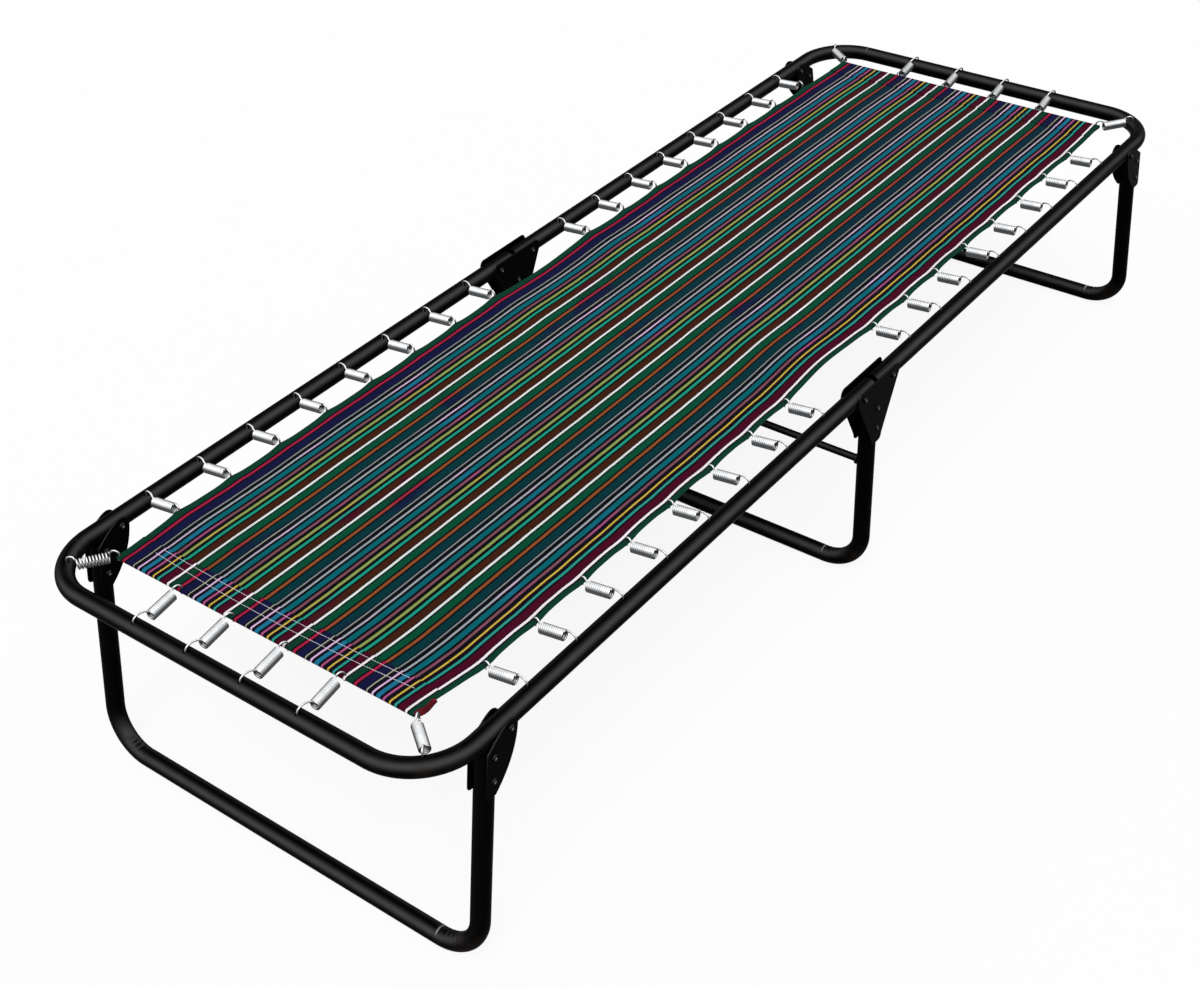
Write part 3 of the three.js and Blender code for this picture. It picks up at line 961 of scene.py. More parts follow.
@dataclass(frozen=True)
class Spring:
    """A wire spring with a hook in the tube and one in the canvas.

    Distances run inwards from the middle of the tube, and heights up from the tube's axis, in millimetres.
    """

    coil_start: float
    coil_end: float
    winding: Winding = Winding.CLOSE
    drawn_turns: int = 10
    wire_diameter: float = 2.6
    turn_slack: float = 1.01
    outer_diameter: float = 15.0
    rise: float = 8.0
    turn_steps: int = 22
    hook_steps: int = 5
    wire_sides: int = 8
    hole_inset: float = 4.5
    hook_reach: float = 12.2
    tube_hook_top: float = 19.0
    canvas_hook_top: float = 18.2
    skew: float = 9.0
    barrel_share: float = 0.72

    @property
    def half_length(self) -> float:
        """Half the length of the coil."""
        return (self.coil_end - self.coil_start) / 2

    @property
    def coil_radius(self) -> float:
        """Radius of the middle line of the coil's wire."""
        return (self.outer_diameter - self.wire_diameter) / 2

    @property
    def axis(self) -> Spot:
        """Direction of the coil, turned by its skew."""
        return math.cos(math.radians(self.skew)), math.sin(math.radians(self.skew))

    @property
    def turns(self) -> int:
        """Whole turns of the coil."""
        touching = int(2 * self.half_length / (self.wire_diameter * self.turn_slack))
        return self.drawn_turns if self.winding is Winding.DRAWN else touching

    def coil(self) -> np.ndarray:
        """Winds the coil.

        Returns:
            Middle line of its wire, from its top at one end to its top at the other.
        """
        shares = np.linspace(0, 1, self.turns * self.turn_steps + 1)
        angles = np.pi / 2 + 2 * np.pi * self.turns * shares
        inward, lateral = self.half_length * (2 * shares - 1), self.coil_radius * np.cos(angles)
        along, aside = self.axis
        return np.stack([
            self.coil_start + self.half_length + inward * along - lateral * aside,
            inward * aside + lateral * along,
            self.rise + self.coil_radius * np.sin(angles),
        ], 1)

    def tube_hook(self) -> np.ndarray:
        """Shapes the hook in the tube.

        Returns:
            Its points, from its tip to the coil.
        """
        hole, top, (x, y, z) = self.hole_inset, self.tube_hook_top, self.coil()[0]
        reach = x - hole
        return np.array([
            [hole + 3.2, 0, 5.6], [hole + 0.9, 0, 6.6], [hole, 0, 9.5], [hole - 0.4, 0, 13.4],
            [hole + 0.12 * reach, 0.1 * y, top - 1.6], [hole + 0.40 * reach, 0.3 * y, top],
            [hole + 0.72 * reach, 0.65 * y, top - 0.9], [x - 1.6, y - 0.6, z + 1.2],
        ])

    def canvas_hook(self) -> np.ndarray:
        """Shapes the hook in the canvas.

        Returns:
            Its points, from the coil to its tip.
        """
        rise, top, (x, y, z) = self.rise, self.canvas_hook_top, self.coil()[-1]
        tip = self.coil_end + self.hook_reach
        reach = tip - x
        return np.array([
            [x + 1.4, y + 0.4, z + 1.0], [x + 0.34 * reach, 0.8 * y, top - 0.4],
            [x + 0.62 * reach, 0.5 * y, top], [tip - 1.2, 0.2 * y, top - 2.2], [tip + 0.3, 0, rise + 4.6],
            [tip + 0.2, 0, rise + 1.0], [tip - 0.6, 0, rise - 2.2], [tip - 2.6, 0, rise - 3.4],
        ])

    def line(self) -> np.ndarray:
        """Joins the coil and its hooks.

        Returns:
            Middle line of the whole wire.
        """
        coil = self.coil()
        entry = smooth_line(np.concatenate([self.tube_hook(), coil[:3]]), self.hook_steps)
        leave = smooth_line(np.concatenate([coil[-3:], self.canvas_hook()]), self.hook_steps)
        return np.concatenate([entry, coil[3:-3], leave])

    def blend_turns(self, mesh: Mesh) -> None:
        """Shades touching turns as one worn barrel, whose wires are only just told apart.

        Args:
            mesh: Mesh of the spring, in its own frame.
        """
        if self.winding is Winding.DRAWN:
            return
        normals, places = (np.zeros(3 * len(mesh.vertices), np.float32) for _ in range(2))
        mesh.vertex_normals.foreach_get("vector", normals)
        mesh.vertices.foreach_get("co", places)
        axis = np.array([*self.axis, 0])
        from_middle = places.reshape(-1, 3) / MM - (self.coil_start + self.half_length, 0, self.rise)
        along = from_middle @ axis
        spokes = from_middle - along[:, None] * axis
        reach = np.linalg.norm(spokes, axis=1)
        outside = (np.abs(along) < self.half_length + 0.5) & (reach > self.coil_radius)
        share = np.where(outside, self.barrel_share, 0.0)[:, None]
        blended = normals.reshape(-1, 3) * (1 - share) + spokes / np.maximum(reach, 1e-6)[:, None] * share
        blended /= np.linalg.norm(blended, axis=1)[:, None]
        mesh.normals_split_custom_set_from_vertices(blended.tolist())

    def mesh(self, name: str) -> Mesh:
        """Makes the spring's mesh, in its own frame.

        Args:
            name: Name of the mesh.

        Returns:
            The mesh, without an object.
        """
        shell = wire_shell(self.line() * MM, self.wire_diameter / 2 * MM, self.wire_sides)
        piece = new_piece(name, *shell, WIRE_SHARP_ANGLE)
        mesh = piece.data
        self.blend_turns(mesh)
        bpy.data.objects.remove(piece)
        return mesh


class SpringKind(Enum):
    """The kinds of spring. The value is the spring's shape."""

    SIDE = Spring(22.55, 54.45)
    END = Spring(20.05, 61.45, hole_inset=-2.5)
    CORNER = Spring(16.55, 56.45)
    DRAWN = Spring(16.55, 56.45, Winding.DRAWN)

    @property
    def hole(self) -> float:
        """Distance in from the tube's middle line to the hole for the hook, in metres."""
        return self.value.hole_inset * MM


def cross_rod(name: str, spot: Spot, ends: Spot, radius: float, rings: int, sides: int) -> Piece:
    """Makes a straight rod across the cot.

    Args:
        name: Name of the rod.
        spot: X and Z of its axis.
        ends: Y of its ends.
        radius: Its radius.
        rings: Rings of points along it.
        sides: Sides of its section.

    Returns:
        The rod.
    """
    line = np.array([[spot[0], y, spot[1]] for y in np.linspace(*ends, rings)])
    return new_piece(name, *wire_shell(line, radius, sides))


@dataclass
class SpringSet:
    """All 44 springs and the two rods in the end hems."""

    plan: Plan
    finishes: Finishes
    hinge_spring_offset: float = 116.5 * MM
    side_pitch: float = 90 * MM
    side_count: int = 8
    end_pitch: float = 90 * MM
    end_count: int = 4
    bend_radius: float = 84 * MM
    rod_inset: float = 72.55 * MM
    rod_reach: float = 239.6 * MM
    rod_radius: float = 1.5 * MM
    rod_rings: int = 25
    rod_sides: int = 16

    def side_insets(self, end: End) -> list[float]:
        """Places of one half's side springs.

        Args:
            end: The half.

        Returns:
            Their distances in from the end rail, the nearest first.
        """
        last = self.plan.rail_inset - end.value * self.plan.hinge_x - self.hinge_spring_offset
        return [last - (self.side_count - 1 - i) * self.side_pitch for i in range(self.side_count)]

    def end_spots(self) -> list[float]:
        """Y of each end spring."""
        return [(i - (self.end_count - 1) / 2) * self.end_pitch for i in range(self.end_count)]

    def corner(self, end: End, side: Side, inward: float = 0.0) -> Spot:
        """A place on the 45 degree line of a frame corner.

        Args:
            end: The half.
            side: The long side.
            inward: Distance inwards from the middle of the bent tube.

        Returns:
            X and Y of the place.
        """
        slack = self.bend_radius * (1 - math.cos(math.pi / 4)) + inward * math.cos(math.pi / 4)
        return self.plan.x_at(end, slack), side.value * (self.plan.side_inset - slack)

    def hung(
        self, label: str, mesh: Mesh, end: End, spot: Spot, heading: float, nodes: Iterable[str] = ()
    ) -> Piece:
        """Hangs one spring.

        Args:
            label: Name of the piece without its end.
            mesh: Mesh of the spring.
            end: The half that it hangs in.
            spot: X and Y of the place on the tube's axis from which it runs inwards.
            heading: Direction inwards, as an angle about Z.
            nodes: CAD nodes that it stands for.

        Returns:
            The spring.
        """
        spring = linked(f"{end.word}_{label}", mesh)
        at = Vector((*spot, self.plan.axis_height))
        spring.matrix_world = Matrix.Translation(at) @ Matrix.Rotation(heading, 4, "Z")
        return dress(spring, self.finishes.zinc, end.frame_body, nodes)

    def build(self) -> list[Piece]:
        """Makes and hangs every spring and both rods.

        Returns:
            The pieces.
        """
        meshes = {kind: kind.value.mesh(f"{kind.name.lower()}_spring_wire") for kind in SpringKind}
        made = []
        for end in End:
            for side in Side:
                for i, inset in enumerate(self.side_insets(end), 1):
                    spot = (self.plan.x_at(end, inset), side.value * self.plan.side_inset)
                    made.append(self.hung(
                        f"{side.word}_side_spring_{i}", meshes[SpringKind.SIDE], end, spot,
                        -side.value * math.pi / 2, [f"side_spring_{end.word}_{side.word}_{i}"]))
                drawn = end is End.FOOT and side is Side.LEFT
                mesh = meshes[SpringKind.DRAWN if drawn else SpringKind.CORNER]
                made.append(self.hung(
                    f"{side.word}_corner_spring", mesh, end, self.corner(end, side),
                    math.atan2(-side.value, -end.value), [f"corner_spring_{end.word}_{side.word}"]))
            for i, y in enumerate(self.end_spots(), 1):
                spot, heading = (self.plan.x_at(end, 0), y), math.pi if end is End.HEAD else 0
                made.append(self.hung(f"end_spring_{i}", meshes[SpringKind.END], end, spot, heading))
            spot = (self.plan.x_at(end, self.rod_inset), self.plan.canvas_height)
            ends = (-self.rod_reach, self.rod_reach)
            shape = (self.rod_radius, self.rod_rings, self.rod_sides)
            rod = cross_rod(f"{end.word}_hem_rod", spot, ends, *shape)
            nodes = [f"end_springs_{end.word}"]
            made.append(dress(rod, self.finishes.zinc, end.frame_body, nodes))
        return made


# Frame and legs


@dataclass
class TubeFrame:
    """The two U-shaped halves of the bed frame, drilled for the spring hooks."""

    plan: Plan
    finishes: Finishes
    springs: SpringSet
    tube: SteelTube = SteelTube()
    hole_radius: float = 3.4 * MM
    drill_depth: float = 24 * MM
    wrinkles: tuple[float, ...] = (0.62, 0.72, 0.82, 0.92)

    def hole_spots(self, end: End) -> list[Vector]:
        """Places of the hook holes in one half.

        Args:
            end: The half.

        Returns:
            The middle of each hole's mouth.
        """
        plan, springs = self.plan, self.springs
        spots = [(plan.x_at(end, SpringKind.END.hole), y) for y in springs.end_spots()]
        for side in Side:
            y = side.value * (plan.side_inset - SpringKind.SIDE.hole)
            spots += [(plan.x_at(end, inset), y) for inset in springs.side_insets(end)]
            spots.append(springs.corner(end, side, SpringKind.CORNER.hole))
        return [Vector((*spot, plan.axis_height + self.tube.radius)) for spot in spots]

    def build(self) -> list[Piece]:
        """Makes both halves.

        Returns:
            The two tubes.
        """
        made = []
        for end in End:
            x, y, z = self.plan.x_at(end, 0), self.plan.side_inset, self.plan.axis_height
            opening = self.plan.open_end[end]
            half = self.tube.piece(
                f"{end.word}_frame_painted_tube",
                [(opening, -y, z), (x, -y, z), (x, y, z), (opening, y, z)],
                self.springs.bend_radius, np.array([0.0, 0.0, 1.0]),
                {1: self.wrinkles} if end is End.FOOT else {},
                {1: 1 / self.tube.bend_steps} if end is End.HEAD else {})
            drill(half, self.hole_spots(end), self.hole_radius, self.drill_depth)
            nodes = [f"{end.word}_frame_tube"]
            made.append(dress(half, self.finishes.paint, end.frame_body, nodes))
        return made


@dataclass
class Legs:
    """The three U-shaped legs, with bending wrinkles, and the crossbar of the middle one."""

    plan: Plan
    finishes: Finishes
    tube: SteelTube = SteelTube()
    bend_radius: float = 60 * MM
    wrinkles: tuple[tuple[float, ...], ...] = (
        (0.60, 0.68, 0.76, 0.86, 0.97), (0.03, 0.14, 0.24, 0.32, 0.40),
    )
    end_leg_inset: float = 98 * MM
    end_rail_inset: float = 47 * MM
    stop_gap: float = 0.4 * MM
    bar_radius: float = 5.5 * MM
    bar_rings: int = 33
    bar_sides: int = 28
    weld_radius: float = 2.2 * MM
    weld_overlap: float = 0.3
    weld_stand_off: float = 0.35
    weld_ripple: float = 0.12
    weld_beads: int = 9
    weld_points: int = 29
    weld_sides: int = 10

    @property
    def reach(self) -> float:
        """Height from a leg's rail to the frame's axis."""
        return self.plan.axis_height - self.plan.tube_flat

    @property
    def lean(self) -> float:
        """Angle by which an end leg leans out."""
        return math.atan((self.end_leg_inset - self.end_rail_inset) / self.reach)

    @property
    def end_leg_length(self) -> float:
        """Length of an end leg along its middle line, from its rail to its top."""
        stop = self.tube.radius + self.stop_gap + self.tube.radius * math.sin(self.lean)
        return (self.reach - stop) / math.cos(self.lean)

    def end_leg_point(self, end: End, along: float) -> Spot:
        """X and Z of a point on an end leg's middle line, a distance up from its rail."""
        inset = self.end_rail_inset + along * math.sin(self.lean)
        return self.plan.x_at(end, inset), self.plan.tube_flat + along * math.cos(self.lean)

    def u_leg(self, word: str, foot: Spot, top: Spot, body: str) -> Piece:
        """Makes a U of tube.

        Args:
            word: Which leg it is.
            foot: X and Z of the rail.
            top: X and Z of the two ends.
            body: CAD body.

        Returns:
            The leg.
        """
        y = self.plan.side_inset
        upright = Vector((top[0] - foot[0], 0, top[1] - foot[1])).normalized()
        leg = self.tube.piece(
            f"{word}_leg_painted_tube",
            [(top[0], -y, top[1]), (foot[0], -y, foot[1]), (foot[0], y, foot[1]), (top[0], y, top[1])],
            self.bend_radius, np.array(upright.cross(Vector((0, 1, 0)))), dict(enumerate(self.wrinkles)),
            {0: 1.0})
        return dress(leg, self.finishes.paint, body, [f"{word}_leg_tube"])

    def crossbar(self) -> list[Piece]:
        """Makes the middle leg's crossbar with a weld at each end.

        Returns:
            The bar and its welds.
        """
        low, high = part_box("mid_leg_crossbar")
        x, z, body = self.plan.hinge_x, (low.z + high.z) / 2, "mid_stand"
        shape = (self.bar_radius, self.bar_rings, self.bar_sides)
        bar = cross_rod("mid_leg_crossbar_rod", (x, z), (low.y, high.y), *shape)
        made = [dress(bar, self.finishes.paint, body, ["mid_leg_crossbar"])]
        angles = np.linspace(0, 2 * np.pi, self.weld_points)
        ripple = self.weld_stand_off + self.weld_ripple * np.sin(self.weld_beads * angles)
        reach = self.bar_radius + self.weld_radius * ripple
        for side in Side:
            y = np.full(self.weld_points, side.value * (high.y - self.weld_radius * self.weld_overlap))
            ring = np.stack([x + reach * np.cos(angles), y, z + reach * np.sin(angles)], 1)
            shell = wire_shell(ring, self.weld_radius, self.weld_sides)
            weld = new_piece(f"crossbar_weld_{side.word}", *shell)
            made.append(dress(weld, self.finishes.paint, body))
        return made

    def build(self) -> list[Piece]:
        """Makes the three legs and the crossbar.

        Returns:
            The pieces.
        """
        made = []
        for end in End:
            foot, top = (self.end_leg_point(end, along) for along in (0, self.end_leg_length))
            made.append(self.u_leg(end.word, foot, top, end.leg_body))
        x, top_z = self.plan.hinge_x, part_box("mid_leg_tube")[1].z
        made.append(self.u_leg("mid", (x, self.plan.tube_flat), (x, top_z), "mid_stand"))
        return made + self.crossbar()


# Plates and rivets


class Outline:
    """A closed outline in the X-Z plane, drawn with straights and curves."""

    least_step: float = 0.01 * MM
    sharp_angle: float = 30.0
    bevel_angle: float = 50.0
    bevel_steps: int = 2

    def __init__(self, x: float, z: float) -> None:
        """Starts the outline at a point."""
        self.points: list[Spot] = [(x, z)]

    def line(self, x: float, z: float) -> "Outline":
        """Draws a straight to a point."""
        self.points.append((x, z))
        return self

    def curve(self, bend: Spot, to: Spot, steps: int = 14) -> "Outline":
        """Draws a curve.

        Args:
            bend: Point that the curve is drawn towards.
            to: End of the curve.
            steps: Straights that it is made of.

        Returns:
            The outline.
        """
        through = np.array([self.points[-1], bend, to])
        for t in np.linspace(0, 1, steps + 1)[1:]:
            self.line(*(np.array([(1 - t) ** 2, 2 * t * (1 - t), t * t]) @ through))
        return self

    def plate(self, name: str, y: float, thickness: float, bevel: float) -> Piece:
        """Cuts a plate to the outline.

        Args:
            name: Name of the plate.
            y: The face nearer to -Y.
            thickness: Thickness of the plate.
            bevel: Width of its broken edge.

        Returns:
            The plate.
        """
        steps = [math.dist(point, self.points[i - 1]) for i, point in enumerate(self.points)]
        clean = [p for p, step in zip(self.points, steps, strict=True) if step > self.least_step]
        area = sum(a[0] * b[1] - b[0] * a[1] for a, b in zip(clean, clean[1:] + clean[:1], strict=True))
        if area < 0:
            clean.reverse()
        count = len(clean)
        points = np.array([(x, y, z) for x, z in clean] + [(x, y + thickness, z) for x, z in clean])
        faces = [list(range(count)), list(range(count, 2 * count))[::-1]]
        faces += [[i, i + count, (i + 1) % count + count, (i + 1) % count] for i in range(count)]
        plate = new_piece(name, points, faces, self.sharp_angle)
        edge = plate.modifiers.new("broken_edge", "BEVEL")
        edge.width = bevel
        edge.segments = self.bevel_steps
        edge.limit_method = "ANGLE"
        edge.angle_limit = math.radians(self.bevel_angle)
        edge.harden_normals = True
        return plate


@dataclass
class Brackets:
    """Hinge plates, leg plates and all the rivets."""

    plan: Plan
    finishes: Finishes
    legs: Legs
    gap: float = 0.3 * MM
    thickness: float = 1.8 * MM
    bevel: float = 0.45 * MM
    rivet_radius: float = 2.5 * MM
    head_radius: float = 4.75 * MM
    head_height: float = 2.2 * MM
    rivet_sides: int = 28
    dome_rings: int = 6
    edge_wear: float = 0.75
    sharp_angle: float = 50.0
    hinge_spacing: float = 76 * MM
    end_pivot_inset: float = 125 * MM
    end_pivot_drop: float = 2 * MM
    rivet_end_distance: float = 8.5 * MM
    rivet_spacing: float = 33 * MM

    @property
    def near(self) -> float:
        """Distance from the tube's axis to a plate's near face."""
        return self.legs.tube.radius + self.gap

    @property
    def far(self) -> float:
        """Distance from the tube's axis to a plate's far face."""
        return self.near + self.thickness

    @property
    def drops(self) -> tuple[float, float]:
        """Distances of the two tight rivets down from a leg's top."""
        return self.rivet_end_distance, self.rivet_end_distance + self.rivet_spacing

    def rivet(
        self, name: str, spot: Spot, side: Side, seat: float, body: str, nodes: Iterable[str] = ()
    ) -> Piece:
        """Makes a rivet through the tube and both plates, with a domed head on each side.

        Args:
            name: Name of the piece.
            spot: X and Z of its axis.
            side: The long side on which it stands.
            seat: Distance from the tube's axis to the underside of a head.
            body: CAD body.
            nodes: CAD nodes that it stands for.

        Returns:
            The rivet.
        """
        x, z, y0 = *spot, side.value * self.plan.side_inset
        tilts = np.linspace(0, np.pi / 2, self.dome_rings + 1)[:-1]
        half = [(self.rivet_radius, seat)]
        half += [(self.head_radius * math.cos(a), seat + self.head_height * math.sin(a)) for a in tilts]
        profile = [(r, -h) for r, h in half[::-1]] + half
        turns = np.linspace(0, 2 * np.pi, self.rivet_sides, endpoint=False)
        points = [[x + r * math.cos(a), y0 + h, z + r * math.sin(a)] for r, h in profile for a in turns]
        tip = seat + self.head_height
        points += [[x, y0 - tip, z], [x, y0 + tip, z]]
        faces = closed_faces(len(profile), self.rivet_sides, True)
        rivet = new_piece(name, np.array(points), faces, self.sharp_angle)
        bare = np.zeros(len(points))
        bare[-2:] = 1
        bare[: self.rivet_sides] = bare[-2 - self.rivet_sides : -2] = self.edge_wear
        add_values(rivet, "bare", bare)
        return dress(rivet, self.finishes.paint, body, nodes)

    def pin(self, name: str, spot: Spot, side: Side, body: str, node: str) -> Piece:
        """A rivet that something turns on, which stands off its plates."""
        return self.rivet(name, spot, side, self.far + self.gap, body, [node])

    def tight_pair(self, label: str, spots: list[Spot], side: Side, body: str) -> list[Piece]:
        """Makes the two rivets that hold a leg between its plates.

        Args:
            label: The leg, as it stands in their names.
            spots: X and Z of their axes.
            side: The long side.
            body: CAD body.

        Returns:
            The rivets.
        """
        made = []
        for i, spot in enumerate(spots, 1):
            made.append(self.rivet(f"{label}_rivet_{side.word}_{i}", spot, side, self.far - self.gap, body))
        return made

    def pair(self, outline: Outline, label: str, side: Side, body: str, node: str) -> list[Piece]:
        """Makes an inner and an outer plate on one side of the cot.

        Args:
            outline: Outline of both.
            label: Start of their names.
            side: The long side.
            body: CAD body.
            node: CAD node that they stand for.

        Returns:
            The plates.
        """
        made = []
        middle = side.value * self.plan.side_inset
        for word, sign, nodes in (("inner", -side.value, []), ("outer", side.value, [node])):
            face = middle + sign * self.near
            y = face if sign > 0 else face - self.thickness
            plate = outline.plate(f"{label}_plate_{word}_{side.word}", y, self.thickness, self.bevel)
            made.append(dress(plate, self.finishes.paint, body, nodes))
        return made

    def hinge_outline(self) -> Outline:
        """Draws the middle plate: a broad top over both hinge rivets, tapered to the leg.

        Returns:
            Its outline.
        """
        x0, z0 = self.plan.hinge_x, self.plan.axis_height
        top, crown, shoulder, drop = 13.5 * MM, 46 * MM, 55 * MM, 2 * MM
        foot, depth, corner = 13.5 * MM, 92 * MM, 9 * MM

        def at(x: float, z: float) -> Spot:
            """A point from the middle of the hinge."""
            return x0 + x, z0 + z

        outline = Outline(*at(-crown, top))
        outline.curve(at(-shoulder, top), at(-shoulder, -drop)).line(*at(-foot, corner - depth))
        outline.curve(at(-foot, -depth), at(corner - foot, -depth)).line(*at(foot - corner, -depth))
        outline.curve(at(foot, -depth), at(foot, corner - depth)).line(*at(shoulder, -drop))
        return outline.curve(at(shoulder, top), at(crown, top))

    def leg_outline(self, end: End) -> Outline:
        """Draws an end leg's plate: a lobe about its pivot, a straight edge down the leg and a belly back.

        Args:
            end: The end of the leg.

        Returns:
            Its outline.
        """
        lobe, depth, corner, foot_width, belly, lobe_steps = 12 * MM, 76 * MM, 8 * MM, 17 * MM, 50 * MM, 14
        lean = self.legs.lean
        shift = self.legs.tube.radius / math.cos(lean)

        def edge(down: float) -> float:
            """Inset of the leg's outer side, a distance below the tube's axis."""
            return self.legs.end_leg_inset - down * math.tan(lean) - shift

        def at(inset: float, z: float) -> Spot:
            """A point by its inset and its height over the tube's axis."""
            return self.plan.x_at(end, inset), self.plan.axis_height + z

        top = self.legs.tube.radius + self.legs.stop_gap
        foot, pivot, drop = edge(depth), self.end_pivot_inset, self.end_pivot_drop
        outline = Outline(*at(edge(top), -top)).line(*at(edge(depth - corner), corner - depth))
        outline.curve(at(foot, -depth), at(foot + corner, -depth)).line(*at(foot + foot_width, -depth))
        outline.curve(at(edge(depth / 2) + belly, -depth / 2 - corner), at(pivot + lobe, -drop))
        for angle in np.linspace(0, math.pi / 2, lobe_steps + 1)[1:]:
            outline.line(*at(pivot + lobe * math.cos(angle), lobe * math.sin(angle) - drop))
        return outline.curve(at(pivot - lobe, lobe - drop), at(edge(top), -top))

    def build(self) -> list[Piece]:
        """Makes every plate and rivet.

        Returns:
            The pieces.
        """
        plan, legs, middle, made = self.plan, self.legs, "mid_stand", []
        mid_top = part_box("mid_leg_tube")[1].z
        for side in Side:
            word = side.word
            made += self.pair(self.hinge_outline(), "hinge", side, middle, f"mid_bracket_{word}")
            spots = [(plan.hinge_x, mid_top - drop) for drop in self.drops]
            made += self.tight_pair("mid_leg", spots, side, middle)
            for end in End:
                spot = (plan.hinge_x + end.value * self.hinge_spacing / 2, plan.axis_height)
                name, node = f"hinge_pin_{end.word}_{word}", f"hinge_rivet_{end.word}_{word}"
                made.append(self.pin(name, spot, side, middle, node))
                label, node = f"{end.word}_leg", f"{end.word}_bracket_{word}"
                made += self.pair(self.leg_outline(end), label, side, end.leg_body, node)
                spots = [legs.end_leg_point(end, legs.end_leg_length - drop) for drop in self.drops]
                made += self.tight_pair(label, spots, side, end.leg_body)
                spot = (plan.x_at(end, self.end_pivot_inset), plan.axis_height - self.end_pivot_drop)
                node = f"{end.word}_pivot_rivet_{word}"
                made.append(self.pin(f"{label}_pin_{word}", spot, side, end.frame_body, node))
        return made


# Canvas


@dataclass(frozen=True)
class Pull:
    """A place where the canvas edge is drawn out or in, and how far that is felt along and across it.

    All but X are in millimetres.
    """

    x: float
    side: Side
    outward: float
    reach: float
    depth: float


@dataclass(frozen=True)
class StitchRow:
    """One row of stitches: how far in from the hem's edge, and where across the cloth it starts and ends.

    Between its ends it bows towards the edge.
    """

    inset: float
    right: float
    left: float
    bow: float

    def inset_at(self, across: np.ndarray) -> np.ndarray:
        """Distance from the hem's edge, at places across the cloth."""
        share = (2 * across - self.right - self.left) / (self.left - self.right)
        return self.inset - self.bow * (1 - share**2)


